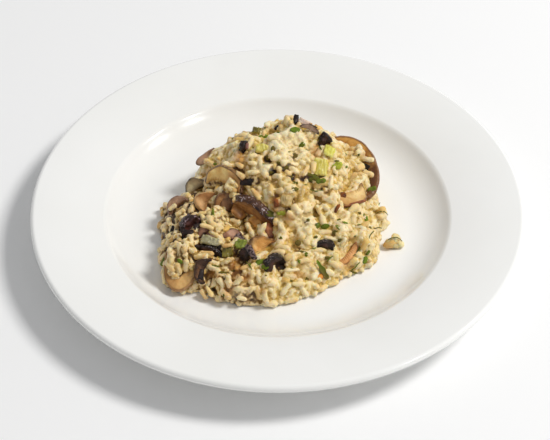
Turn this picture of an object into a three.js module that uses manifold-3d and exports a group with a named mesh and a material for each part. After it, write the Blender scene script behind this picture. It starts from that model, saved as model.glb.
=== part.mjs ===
// Mushroom risotto heaped on a wide-rimmed white dinner plate.
// Millimetres, +Z up, the origin on the table under the middle of the plate.
import * as THREE from 'three';
import { mergeVertices } from 'three/addons/utils/BufferGeometryUtils.js';
import Module from 'manifold-3d';

// ---------- Driving dimensions ----------

const plate = {
  rimRadius: 140,
  rimHeight: 24.4,
  lipRadius: 2.2,
  wellRadius: 98,
  wellEdgeHeight: 17.1,
  wellEdgeRound: 1.6,
  floorRadius: 75,
  floorHeight: 6.5,
  wallBendRadius: 88.5,
  wall: 4.3,
  footRadius: 76,
  footWidth: 3.4,
  footHeight: 2.3,
  footRound: 0.5,
  sectors: 52,
  // How the wall leans where its thickness is added, and the round of the edge, as parts of their radius.
  wallTopLean: 0.8,
  wallBendLean: 0.7,
  edgeOuterRise: 0.45,
  edgeTopReach: 0.3,
  edgeTopRise: 0.2,
  edgeInnerReach: 0.5,
  edgeInnerDrop: 0.6,
};

const heap = {
  gap: 0.3,
  sectors: 60,
  rings: 15,
  edgeHeight: 2.6,
  lobePower: 0.6,
  lobeBlend: 5,
  searchRadius: 90,
  searchStep: 0.25,
  // The lumps fade out where the mound is lower than this.
  lumpFade: 12,
};

// Mounds that make up the heap: middle, half widths, height over the plate's floor, turn in degrees.
const lobes = [
  { name: 'main mound', x: 6, y: 12, rx: 48, ry: 45, height: 43, turn: 0 },
  { name: 'upper left shoulder', x: -8, y: 22, rx: 45, ry: 36, height: 38, turn: 10 },
  { name: 'left shelf', x: -43, y: -16, rx: 26, ry: 38, height: 21, turn: 8 },
  { name: 'front left foot', x: -44, y: -40, rx: 18, ry: 20, height: 15, turn: 0 },
  { name: 'front skirt', x: -12, y: -43, rx: 40, ry: 26, height: 18, turn: 0 },
  { name: 'front right', x: 16, y: -34, rx: 36, ry: 24, height: 19, turn: 20 },
  { name: 'right side', x: 37, y: -14, rx: 22, ry: 25.5, height: 25, turn: 0 },
  { name: 'rear right', x: 30, y: 20, rx: 23, ry: 28, height: 33, turn: 0 },
  { name: 'crest', x: 10, y: 34, rx: 34, ry: 26, height: 40, turn: 0 },
  { name: 'right nub', x: 57, y: -1, rx: 8, ry: 8, height: 11, turn: 0 },
];

// Lumps of clinging rice on the mounds: height of each wave and its two wavelengths.
const lumps = [
  { height: 0.9, alongX: 27, alongY: 31, phase: 0.7 },
  { height: 0.7, alongX: 17, alongY: 19, phase: 2.1 },
  { height: 0.5, alongX: 12, alongY: 14, phase: 4.4 },
];

// The bed that each piece lies in is cut a little larger than the piece.
const bedClearance = 0.5;
const largestBevel = 0.7;
const curveSteps = 3;
const bevelPart = 0.05;
const mergeDistance = 1e-4;

// A cap's outline, as parts of its half width and depth.
const cap = { gillRise: 0.14, gillReach: 0.72, cheek: 0.6, crown: 0.55 };

// A leaf's outline, as parts of its half width and length.
const leafForm = { belly: 1.2, bellyAt: 0.2, shoulderAt: 0.65 };

// A bed's corners beside a cap's crown, as parts of its length and half width.
const bedCorner = { shoulderAt: 0.1, crown: 0.55 };

// Mushroom slices. at: place on the heap and height of the middle over the rice's surface.
// face: the way the cut face looks. crown: the way from the stem to the top of the cap.
// width: across the cap. depth: gills to crown. thick: the slice's thickness. stem: its length.
const mushrooms = [
  { name: 'mushroom_rear_right', at: [47.3, 22.0, 6.6], face: [-0.32, -0.46, 0.83], crown: [0.81, 0.33, 0.49],
    width: 44, depth: 15, thick: 4.5 },
  { name: 'mushroom_centre_strip', at: [-10.2, -15, -6.4], face: [-0.5, -0.84, -0.15], crown: [0.5, -0.2, 0.85],
    width: 31, depth: 12.5, thick: 8.2 },
  { name: 'mushroom_upper_left', at: [-29, 3.8, 0], face: [-0.5, -0.75, 0.42], crown: [0.22, 0.45, 0.87],
    width: 24, depth: 11.5, thick: 5 },
  { name: 'mushroom_left_tan', at: [-41.5, -6.3, 0.8], face: [0.1, -0.6, 0.8], crown: [-0.85, 0.15, 0.2],
    width: 13, depth: 9.5, thick: 4 },
  { name: 'mushroom_left_grey', at: [-30.5, -7, 0.2], face: [0.3, -0.8, 0.35], crown: [-0.3, 0.3, 0.85],
    width: 11.5, depth: 9.5, thick: 3.5 },
  { name: 'mushroom_left_rim', at: [-47.8, 12.2, 0], face: [-0.2, -0.5, 0.85], crown: [-0.6, 0.7, 0.2],
    width: 13.5, depth: 9, thick: 4.5 },
  { name: 'mushroom_far_left', at: [-58, -1, 0], face: [-0.3, -0.3, 0.85], crown: [-0.5, 0.8, 0],
    width: 13, depth: 6.5, thick: 4 },
  { name: 'mushroom_left_dark', at: [-49, -22, -1], face: [0.55, -0.75, 0.2], crown: [-0.3, -0.3, 0.9],
    width: 12, depth: 9, thick: 7 },
  { name: 'mushroom_front_left', at: [-53.2, -49.8, -2.4], face: [-0.15, -0.3, 0.94],
    crown: [-0.2, -0.95, -0.3], width: 21.5, depth: 20, thick: 4.5 },
  { name: 'mushroom_front_brown', at: [-42, -52.2, 3.2], face: [0.3, -0.7, 0.6], crown: [-0.9, -0.1, 0.4],
    width: 14, depth: 7, thick: 3 },
  { name: 'mushroom_front_gold', at: [-9.5, -36, 0], face: [0.15, -0.6, 0.75], crown: [-0.85, 0.3, 0.2],
    width: 13.5, depth: 12, thick: 4.5 },
  { name: 'mushroom_front_black', at: [-2.5, -50, -1.2], face: [0.6, -0.7, 0.1], crown: [0.1, -0.5, 0.8],
    width: 13, depth: 10.5, thick: 6 },
  { name: 'mushroom_right_black', at: [26.3, -36, -0.4], face: [0.2, -0.9, 0.3], crown: [0.1, 0.1, 1],
    width: 10, depth: 5, thick: 5 },
  { name: 'mushroom_right_sliver', at: [39, -38, -0.2], face: [0.3, -0.65, 0.7], crown: [0.6, -0.5, -0.3],
    width: 16, depth: 5, thick: 4 },
  { name: 'mushroom_right_gold', at: [41.5, -5.8, 0.2], face: [0.3, -0.35, 0.87], crown: [0.4, -0.85, -0.3],
    width: 18, depth: 10, thick: 4 },
  { name: 'mushroom_top_black', at: [27, 24, -0.4], face: [0.3, -0.8, 0.3], crown: [-0.1, 0.3, 0.9],
    width: 9, depth: 8, thick: 4 },
  { name: 'mushroom_crest_edge', at: [19, 27, 1.2], face: [-0.2, -0.4, 0.9], crown: [0.5, 0.8, 0.2],
    width: 12, depth: 3, thick: 2 },
  { name: 'mushroom_top_left', at: [-19.3, 20.5, -1], face: [0.8, -0.5, 0.2], crown: [-0.5, -0.3, 0.8],
    width: 7.5, depth: 7.5, thick: 3 },
  { name: 'mushroom_left_end', at: [-41, 26.8, 1.5], face: [-0.2, -0.75, 0.6], crown: [-0.85, -0.3, -0.35],
    width: 6.5, depth: 12, thick: 4.5 },
  { name: 'mushroom_left_strip', at: [-37.5, -39.3, -2.6], face: [-0.3, -0.8, 0.4], crown: [0.2, 0.3, 0.9],
    width: 18, depth: 6.5, thick: 3.6 },
  { name: 'mushroom_front_dark', at: [-18, -45, -1.2], face: [-0.6, -0.7, 0.4], crown: [0.2, 0, 0.9],
    width: 7, depth: 7, thick: 4 },
  { name: 'mushroom_left_pink', at: [-24.5, -29, -0.8], face: [0.1, -0.6, 0.8], crown: [0.3, 0.8, 0.4],
    width: 13, depth: 7.5, thick: 3.5 },
  { name: 'mushroom_left_rose', at: [-40.5, -28.7, -0.8], face: [-0.1, -0.5, 0.85], crown: [-0.4, 0.8, 0.3],
    width: 9, depth: 5, thick: 3 },
];

// Pieces cut from a leek or celery stalk: part of a ring, its radius, wall, height and sweep in degrees.
const stalks = [
  { name: 'leek_top_ribbed', at: [24.5, 4, 0], out: [0.2, -0.55, 0.8], up: [0, 0.8, 0.6],
    radius: 9, wall: 3, height: 10.5, sweep: 50, colour: 0xc9bf52 },
  { name: 'leek_top_bright', at: [29, 14, 0], out: [0.4, -0.3, 0.85], up: [0.2, 0.9, 0.3],
    radius: 7, wall: 2.6, height: 7, sweep: 55, colour: 0xbfc24a },
  { name: 'leek_top_yellow', at: [-8, 14, 0], out: [0, -0.5, 0.85], up: [0, 0.85, 0.5],
    radius: 9, wall: 2.6, height: 5.2, sweep: 52, colour: 0xd2c860 },
  { name: 'leek_crest_olive', at: [-12, 33, 0], out: [-0.3, -0.4, 0.85], up: [0.3, 0.8, 0.4],
    radius: 5, wall: 2.2, height: 4.2, sweep: 75, colour: 0x6d7a26 },
  { name: 'leek_front_olive', at: [-27.5, -41, 0], out: [0.1, -0.6, 0.8], up: [0, 0.8, 0.6],
    radius: 7, wall: 2.6, height: 6.5, sweep: 55, colour: 0x7d7418 },
  { name: 'leek_front_green', at: [-20.5, -36, 0], out: [-0.1, -0.5, 0.85], up: [0.4, 0.8, 0.4],
    radius: 6, wall: 2.4, height: 6, sweep: 62, colour: 0x7f8a2a },
  { name: 'onion_centre', at: [5, -16, 0], out: [0, -0.6, 0.8], up: [0.1, 0.8, 0.6],
    radius: 8, wall: 2.8, height: 9, sweep: 50, colour: 0xb5a06c },
  { name: 'leek_left_grey', at: [-37, -34.8, 1.2], out: [0, -0.6, 0.8], up: [0.2, 0.8, 0.6],
    radius: 11, wall: 2.4, height: 5, sweep: 54, colour: 0xaaa688 },
];

// The one leaf of parsley that is large enough to be a piece of its own.
const leaf = { name: 'parsley_right', at: [24.5, -49.5, 0.4], face: [0.3, -0.6, 0.74], tip: [0.5, -0.6, -0.6],
  width: 7, length: 12, thick: 1.2 };

// The grains that lie alone on the plate: middle, half axes and turn in degrees of each.
const looseGrains = [
  { x: 64.6, y: -22, rx: 4.3, ry: 2.3, rz: 2.2, turn: 20 },
  { x: 68, y: -19.6, rx: 4.2, ry: 2.2, rz: 2.3, turn: -35 },
  { x: 66.6, y: -18, rx: 3.6, ry: 2.1, rz: 2.5, turn: 75 },
];

// ---------- Materials ----------

const colours = { glaze: 0xf1f0ec, rice: 0xdfcba0, mushroom: 0x9b7245, parsley: 0x3f6a1e };
const roughness = { glaze: 0.12, rice: 0.45, mushroom: 0.4, stalk: 0.3, parsley: 0.45 };

function material(colour, rough) {
  return new THREE.MeshStandardMaterial({ color: colour, roughness: rough, metalness: 0 });
}

// ---------- Solids ----------

const wasm = await Module();
wasm.setup();

// Merges the shared vertices and drops the flat triangles that a pole or a seam leaves.
function joined(geometry) {
  const bare = geometry.clone();
  bare.deleteAttribute('normal');
  bare.deleteAttribute('uv');
  const merged = mergeVertices(bare, mergeDistance);
  const corners = merged.index.array;
  const kept = [];
  for (let i = 0; i < corners.length; i += 3) {
    const [a, b, c] = corners.slice(i, i + 3);
    if (a !== b && b !== c && c !== a) {
      kept.push(a, b, c);
    }
  }
  merged.setIndex(kept);
  return merged;
}

function solidOf(mesh) {
  mesh.updateMatrixWorld(true);
  const geometry = joined(mesh.geometry).applyMatrix4(mesh.matrixWorld);
  return new wasm.Manifold(new wasm.Mesh({
    numProp: 3,
    vertProperties: new Float32Array(geometry.attributes.position.array),
    triVerts: new Uint32Array(geometry.index.array),
  }));
}

function geometryOf(solid) {
  const { vertProperties, triVerts } = solid.getMesh();
  const geometry = new THREE.BufferGeometry();
  geometry.setAttribute('position', new THREE.BufferAttribute(new Float32Array(vertProperties), 3));
  geometry.setIndex(new THREE.BufferAttribute(new Uint32Array(triVerts), 1));
  geometry.computeVertexNormals();
  return geometry;
}

// ---------- Plate ----------

function roundAbout(x, y, radius, fromDegrees, toDegrees, steps) {
  const points = [];
  for (let i = 0; i <= steps; i += 1) {
    const angle = THREE.MathUtils.degToRad(fromDegrees + (toDegrees - fromDegrees) * i / steps);
    points.push(new THREE.Vector2(x + radius * Math.cos(angle), y + radius * Math.sin(angle)));
  }
  return points;
}

function wellWall(drop, steps) {
  const p = plate;
  return new THREE.QuadraticBezierCurve(
    new THREE.Vector2(p.wellRadius + drop * p.wallTopLean, p.wellEdgeHeight - drop),
    new THREE.Vector2(p.wallBendRadius + drop * p.wallBendLean, p.floorHeight - drop),
    new THREE.Vector2(p.floorRadius + drop, p.floorHeight - drop),
  ).getPoints(steps);
}

function edgePoint(reach, rise) {
  const { wellRadius, wellEdgeHeight, wellEdgeRound } = plate;
  return new THREE.Vector2(wellRadius + wellEdgeRound * reach, wellEdgeHeight + wellEdgeRound * rise);
}

function plateProfile() {
  const p = plate;
  const foot = p.footRadius;
  const recess = p.floorHeight - p.wall;
  const lipX = p.rimRadius - p.lipRadius;
  const lipY = p.rimHeight - p.lipRadius;
  const underside = [
    new THREE.Vector2(0, recess),
    new THREE.Vector2(foot - p.footWidth - p.footHeight, recess),
    new THREE.Vector2(foot - p.footWidth, p.footRound),
    new THREE.Vector2(foot - p.footWidth + p.footRound, 0),
    new THREE.Vector2(foot - p.footRound, 0),
    new THREE.Vector2(foot, p.footRound),
    new THREE.Vector2(foot + p.footHeight / 2, recess),
  ];
  const outside = wellWall(p.wall, 5).reverse().slice(1);
  const lip = roundAbout(lipX, lipY, p.lipRadius, -80, 100, 7);
  const edge = new THREE.QuadraticBezierCurve(
    edgePoint(1, p.edgeOuterRise),
    edgePoint(p.edgeTopReach, p.edgeTopRise),
    edgePoint(-p.edgeInnerReach, -p.edgeInnerDrop),
  ).getPoints(2);
  const inside = wellWall(0, 6).slice(1);
  return [...underside, ...outside, ...lip, ...edge, ...inside, new THREE.Vector2(0, p.floorHeight)];
}

function makePlate() {
  const geometry = new THREE.LatheGeometry(plateProfile(), plate.sectors);
  geometry.rotateX(Math.PI / 2);
  const mesh = new THREE.Mesh(joined(geometry), material(colours.glaze, roughness.glaze));
  mesh.name = 'plate';
  return mesh;
}

// ---------- Heap of rice ----------

function lobeHeight(lobe, x, y) {
  const turn = THREE.MathUtils.degToRad(lobe.turn);
  const dx = x - lobe.x;
  const dy = y - lobe.y;
  const along = (dx * Math.cos(turn) + dy * Math.sin(turn)) / lobe.rx;
  const across = (dy * Math.cos(turn) - dx * Math.sin(turn)) / lobe.ry;
  return lobe.height * Math.max(0, 1 - along ** 2 - across ** 2) ** heap.lobePower;
}

function moundHeight(x, y) {
  const sum = lobes.reduce((total, lobe) => total + lobeHeight(lobe, x, y) ** heap.lobeBlend, 0);
  return sum ** (1 / heap.lobeBlend);
}

function lumpHeight(x, y) {
  const wave = ({ height, alongX, alongY, phase }) => height
    * (Math.sin(2 * Math.PI * x / alongX + phase) + Math.sin(2 * Math.PI * y / alongY + 2 * phase));
  return lumps.reduce((total, lump) => total + wave(lump), 0);
}

function riceHeight(x, y) {
  const mound = moundHeight(x, y);
  const fade = Math.min(1, mound / heap.lumpFade);
  return Math.max(heap.edgeHeight, mound + fade * lumpHeight(x, y));
}

function outlineRadius(angle) {
  let radius = heap.searchRadius;
  while (moundHeight(radius * Math.cos(angle), radius * Math.sin(angle)) <= 0) {
    radius -= heap.searchStep;
  }
  return radius;
}

function makeHeapBlank() {
  const profile = [new THREE.Vector2(0, 0)];
  profile.push(new THREE.Vector2(1, 0));
  for (let ring = heap.rings; ring >= 0; ring -= 1) {
    profile.push(new THREE.Vector2(Math.sin(Math.PI / 2 * ring / heap.rings), 1));
  }
  const geometry = joined(new THREE.LatheGeometry(profile, heap.sectors).rotateX(Math.PI / 2));
  const position = geometry.attributes.position;
  const base = plate.floorHeight + heap.gap;
  for (let i = 0; i < position.count; i += 1) {
    const angle = Math.atan2(position.getY(i), position.getX(i));
    const radius = Math.hypot(position.getX(i), position.getY(i)) * outlineRadius(angle);
    const x = radius * Math.cos(angle);
    const y = radius * Math.sin(angle);
    const top = position.getZ(i) > 0.5;
    position.setXYZ(i, x, y, top ? base + riceHeight(x, y) : base);
  }
  return new THREE.Mesh(geometry, material(colours.rice, roughness.rice));
}

function makeHeap(pieces) {
  let solid = solidOf(makeHeapBlank());
  for (const piece of pieces) {
    solid = solid.subtract(solidOf(makeBed(piece)));
  }
  const bodies = solid.decompose().sort((a, b) => b.volume() - a.volume());
  const mesh = new THREE.Mesh(geometryOf(bodies[0]), material(colours.rice, roughness.rice));
  mesh.name = 'risotto';
  return mesh;
}

// ---------- Pieces in the rice ----------

// Turns a mesh so that its local z looks along face and its local y along crown.
function turnTo(mesh, face, crown) {
  const z = new THREE.Vector3(...face).normalize();
  const y = new THREE.Vector3(...crown);
  y.addScaledVector(z, -y.dot(z)).normalize();
  const x = y.clone().cross(z);
  mesh.quaternion.setFromRotationMatrix(new THREE.Matrix4().makeBasis(x, y, z));
}

function layAt(mesh, [x, y, lift]) {
  const surface = moundHeight(x, y) > 0 ? riceHeight(x, y) : 0;
  mesh.position.set(x, y, plate.floorHeight + heap.gap + surface + lift);
}

function capOutline(width, depth) {
  const half = width / 2;
  const rise = depth * cap.gillRise;
  const shape = new THREE.Shape();
  shape.moveTo(-half, 0);
  shape.bezierCurveTo(-half, depth * cap.cheek, -half * cap.crown, depth, 0, depth);
  shape.bezierCurveTo(half * cap.crown, depth, half, depth * cap.cheek, half, 0);
  shape.lineTo(half * cap.gillReach, -rise);
  shape.lineTo(0, 0);
  shape.lineTo(-half * cap.gillReach, -rise);
  return shape;
}

function stalkOutline(radius, wall, sweepDegrees) {
  const sweep = THREE.MathUtils.degToRad(sweepDegrees) / 2;
  const shape = new THREE.Shape();
  shape.absarc(0, 0, radius, Math.PI / 2 + sweep, Math.PI / 2 - sweep, true);
  shape.absarc(0, 0, radius - wall, Math.PI / 2 - sweep, Math.PI / 2 + sweep, false);
  return shape;
}

function leafOutline(width, length) {
  const half = width / 2;
  const belly = new THREE.Vector2(half * leafForm.belly, length * leafForm.bellyAt);
  const shoulder = new THREE.Vector2(half, length * leafForm.shoulderAt);
  const shape = new THREE.Shape();
  shape.moveTo(0, 0);
  shape.bezierCurveTo(-belly.x, belly.y, -shoulder.x, shoulder.y, 0, length);
  shape.bezierCurveTo(shoulder.x, shoulder.y, belly.x, belly.y, 0, 0);
  return shape;
}

// A slab of the outline, centred on its own middle. A bevel of 0 leaves its edges sharp.
function slab(shape, thick, bevel) {
  const geometry = new THREE.ExtrudeGeometry(shape, {
    depth: thick - 2 * bevel, bevelEnabled: bevel > 0, bevelThickness: bevel, bevelSize: bevel,
    bevelOffset: -bevel, bevelSegments: 1, curveSegments: curveSteps,
  });
  geometry.center();
  return joined(geometry);
}

function placed(geometry, spec, face, crown, colour, rough) {
  const mesh = new THREE.Mesh(geometry, material(colour, rough));
  mesh.name = spec.name;
  turnTo(mesh, face, crown);
  layAt(mesh, spec.at);
  return mesh;
}

function makeMushroom(spec) {
  const bevel = Math.min(largestBevel, spec.depth * bevelPart);
  const geometry = slab(capOutline(spec.width, spec.depth), spec.thick, bevel);
  return placed(geometry, spec, spec.face, spec.crown, colours.mushroom, roughness.mushroom);
}

function makeStalk(spec) {
  const geometry = slab(stalkOutline(spec.radius, spec.wall, spec.sweep), spec.height, 0);
  return placed(geometry, spec, spec.up, spec.out, spec.colour, roughness.stalk);
}

function makeLeaf(spec) {
  const geometry = slab(leafOutline(spec.width, spec.length), spec.thick, 0);
  return placed(geometry, spec, spec.face, spec.tip, colours.parsley, roughness.parsley);
}

// The bed of a piece: its own box, a little larger, with the corners of a cap's dome cut off.
function makeBed(piece) {
  piece.geometry.computeBoundingBox();
  const box = piece.geometry.boundingBox;
  const size = box.getSize(new THREE.Vector3()).addScalar(2 * bedClearance);
  const middle = box.getCenter(new THREE.Vector3());
  const half = size.x / 2;
  const low = -size.y / 2;
  const shape = new THREE.Shape();
  shape.moveTo(-half, low);
  shape.lineTo(half, low);
  shape.lineTo(half, size.y * bedCorner.shoulderAt);
  shape.lineTo(half * bedCorner.crown, size.y / 2);
  shape.lineTo(-half * bedCorner.crown, size.y / 2);
  shape.lineTo(-half, size.y * bedCorner.shoulderAt);
  const geometry = slab(shape, size.z, 0).translate(middle.x, middle.y, middle.z);
  const bed = new THREE.Mesh(geometry);
  bed.quaternion.copy(piece.quaternion);
  bed.position.copy(piece.position);
  return bed;
}

function makeLooseGrains() {
  const floor = plate.floorHeight + heap.gap;
  const grains = looseGrains.map((grain) => {
    const mesh = new THREE.Mesh(new THREE.SphereGeometry(1, 10, 6));
    mesh.scale.set(grain.rx, grain.ry, grain.rz);
    mesh.rotation.z = THREE.MathUtils.degToRad(grain.turn);
    mesh.position.set(grain.x, grain.y, floor + grain.rz);
    return solidOf(mesh);
  });
  const solid = grains.reduce((sum, grain) => sum.add(grain));
  const mesh = new THREE.Mesh(geometryOf(solid), material(colours.rice, roughness.rice));
  mesh.name = 'loose_grains';
  return mesh;
}

// ---------- The whole dish ----------

const pieces = [...mushrooms.map(makeMushroom), ...stalks.map(makeStalk), makeLeaf(leaf)];
const dish = new THREE.Group();
dish.add(makePlate(), makeHeap(pieces), ...pieces, makeLooseGrains());

export default dish;
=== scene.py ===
"""Mushroom risotto heaped on a white dinner plate: the looks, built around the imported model."""
import bmesh
import bpy
import math
import numpy as np
from mathutils import Matrix, Vector, kdtree, noise
from mathutils.bvhtree import BVHTree


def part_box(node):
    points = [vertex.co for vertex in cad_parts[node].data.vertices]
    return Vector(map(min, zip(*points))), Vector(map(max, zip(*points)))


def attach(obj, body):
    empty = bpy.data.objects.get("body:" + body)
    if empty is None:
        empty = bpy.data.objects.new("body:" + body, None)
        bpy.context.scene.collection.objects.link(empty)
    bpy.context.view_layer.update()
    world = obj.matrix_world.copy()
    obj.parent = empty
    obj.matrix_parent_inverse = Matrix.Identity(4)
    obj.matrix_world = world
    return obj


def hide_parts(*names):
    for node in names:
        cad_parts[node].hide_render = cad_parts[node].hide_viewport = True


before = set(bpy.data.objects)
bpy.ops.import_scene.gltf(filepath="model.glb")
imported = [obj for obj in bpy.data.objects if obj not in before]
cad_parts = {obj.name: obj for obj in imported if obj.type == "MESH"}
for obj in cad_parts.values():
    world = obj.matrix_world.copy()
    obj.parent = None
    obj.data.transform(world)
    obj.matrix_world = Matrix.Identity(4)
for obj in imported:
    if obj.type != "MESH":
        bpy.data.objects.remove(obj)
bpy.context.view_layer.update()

MM = 0.001
BODY = "root"

# ---------- Named sizes, in millimetres unless they say otherwise ----------

VIEW = {
    "elevation": 43.956, "distance": 886.5, "pan_right": -1.4, "pan_up": 5.5, "lens": 100.0, "sensor": 36.0,
    "wide": 550, "high": 440, "nearest": 50.0,
}

TABLE = {"half_width": 4.0, "cells": 8}  # metres

LAMPS = {
    # the way to it; its distance and width in metres; watts; colour; whether all it makes is gleams
    "key": ((0.62, 0.03, 0.78), 2.2, 0.6, 35.0, (1.0, 0.99, 0.975), False),
    "glint_front": ((0.61, -0.28, 0.74), 2.2, 0.18, 5.0, (1.0, 1.0, 1.0), True),
    "glint_side": ((0.76, 0.04, 0.64), 2.2, 0.18, 5.0, (1.0, 1.0, 1.0), True),
}
ROOM = {"colour": (0.98, 0.99, 1.0, 1.0), "strength": 0.43}

PLATE = {
    # its section: rim, lip, the edge of the well, its floor and wall, the foot; weld closes the spin's seam
    "rim_height": 24.4, "lip_radius": 2.2, "well_radius": 98.0, "well_edge_height": 17.1,
    "well_edge_round": 1.6, "floor_radius": 75.0, "floor_height": 6.5, "wall_bend_radius": 88.5, "wall": 4.3,
    "foot_radius": 76.0, "foot_width": 3.4, "foot_height": 2.3, "foot_round": 0.5, "foot_flare": 0.4,
    "foot_flare_height": 0.8, "inset": 0.05, "weld": 0.02, "spins": 192,
}

HEAP = {
    # the surface that the rice follows: its cells, those kept round the outline, and how it falls away outside;
    # its clumps, with how far up the heap they reach their full rise; mounds and bare places; room at the peak
    "pitch": 1.5, "margin": 6, "smoothings": 2, "brink": 2.0, "fall": 1.8, "probe": 100.0,
    "clump": 8.5, "clump_rise": 2.8, "clump_foot": 2.0, "clump_round": 1.6, "clump_shift": 1.5, "clump_top": 3.0,
    "clump_crease": 1.2, "clump_sizes": (0.6, 1.1), "full_rise": 12.0, "least_rise": 0.15, "steepest": 1.8,
    "sunk": 1.0, "bare_sunk": 1.6, "mound_edge": 1.5, "peak_room": 1.9,
}

GRAIN = {
    # a grain's half sizes and how they spread, and how lumpy it is: height and closeness of its lumps
    "half_length": 4.1, "half_width": 2.05, "half_height": 1.8, "spread": 0.15, "most_spread": 2.0,
    "lump": (0.34, 1.6), "small_lump": (0.2, 3.7), "ragged_end": (0.16, 2.2), "dent_at": 0.2, "dent_width": 0.35,
}
GRAIN_FORMS = (
    # taper, bend, dent, bluntness
    (0.1, 0.1, 0.1, 4.0), (-0.06, -0.16, 0.3, 3.4), (0.22, 0.05, 0, 5.0), (0, 0.22, 0.2, 3.2),
    (0.28, -0.1, 0.15, 5.5), (0, 0.3, 0.4, 3.6), (-0.2, 0.12, 0, 4.4), (0.12, -0.26, 0.35, 3.8),
    (0.05, 0.05, 0.5, 6.0), (0.3, 0.2, 0.1, 3.6),
)
# The same for grains that are placed one by one, against their width in the view
BOLD = {"least_seen": 0.6, "past_ends": 0.2, "half_width": 0.46, "half_height": 0.42, "raised": 0.4}

PILE = {
    # how the grains are packed: the layer that they fill and how full it starts, rounds and how often they look
    # for neighbours, how far; how upright they may be and how far they stand out; how hard they are pushed
    "shell": 7.5, "skin": 0.8, "headroom": 6, "packing": 0.66, "steps": 70, "relist": 5, "reach": 5.4,
    "upright": 0.7, "ball": 0.97, "standing_out": 0.6, "farthest_out": 1.8, "push": 0.35, "pull": 0.5,
    "over_plate": 0.2, "clear_depth": 2.5, "deep_gap": 1.6,
}
# How near the grains come to the edge and the faces of a slice, and how hard they are pushed off it
ROUND_PIECES = {"edge": 0.7, "thickness": 0.9, "face": 0.85, "below": 1, "push": 0.6}

CREAM = {
    # the sauce's skin and the core under the grains; pale is for the right half and dark for the left
    "voxel": 0.68, "swell_pale": 0.06, "swell_dark": 0.12, "smoothings": 2, "smoothing": 0.5,
    "core_pale": 1.15, "core_dark": 1.8, "core_creamy": 0.3, "core_wave": 1.4, "core_edge": 0.6, "core_bottom": 0.3,
    "steepest": 0.5, "shrink_pale": 0.12, "shrink_dark": 0.05, "patch": 8.0, "unevenness": 0.5, "crag": 2.0,
    "crag_depth": 0.4, "crumb": 0.95, "crumb_depth": 0.2, "crease_rounds": 6, "crease": 0.5,
    "under": 1.2, "under_slope": 0.8, "over_plate": 0.12,
}

SHADE = {
    # painted shade over the left half: how its edge slants, where it starts and over what width it deepens, how
    # dark it gets, and the same towards the back; how a gap or an oval fades past its edge; the depths painted
    # shade runs between
    "slant": 0.25, "left": 8, "left_width": 24, "level": 0.72, "back": 6, "back_width": 14,
    "gap_fade": (2.4, 1.5), "oval_fade": (1.8, 1.2), "skin": 0.3, "depth": 4.0,
}

GLOW = {
    # how far red, green and blue light sinks in, in metres
    "rice": (0.0016, 0.0012, 0.0006), "mushroom": (0.0016, 0.0008, 0.0004), "leek": (0.002, 0.002, 0.0006),
    "parsley": (0.0006, 0.001, 0.0003), "shred": (0.0015, 0.0008, 0.0004),
}

CAP = {
    # a slice's cells across, from skin to gills and through it, and how they crowd to the skin; its gills against
    # its crown; how the skin bulges, how full its node is, its ends and gills thinner; waves: closeness and height
    "cells": (34, 9, 3), "crowding": 1.4, "gill_width": 0.86, "gill_height": 0.55, "gill_bend": 1.3, "bulge": 0.3,
    "fill": 0.96, "skin_thinner": 0.3, "gills_thinner": 0.25, "ends_thinner": 0.2, "wave": (0.14, 0.9),
    "crumple": (0.4, 0.45), "dark_crumple": (0.4, 1.3), "sideways": 0.6, "curl_from": 0.35, "crown_curl": 0.4,
}
CRUMPLED = ("black", "maroon", "bark")

STALK = {
    # a stalk's cells across, along and through it; its ribs, with the radius from which they are strong; how
    # rounded its cut edges are; waves: closeness and height
    "cells": (26, 8, 2), "ribs": 0.13, "faint_ribs": 0.04, "ribbed_from": 8, "rib_count": 4.2, "rib_slant": 1.5,
    "rounding": 0.22, "wave": (0.3, 1.1), "small_wave": (0.9, 0.4),
}

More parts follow.
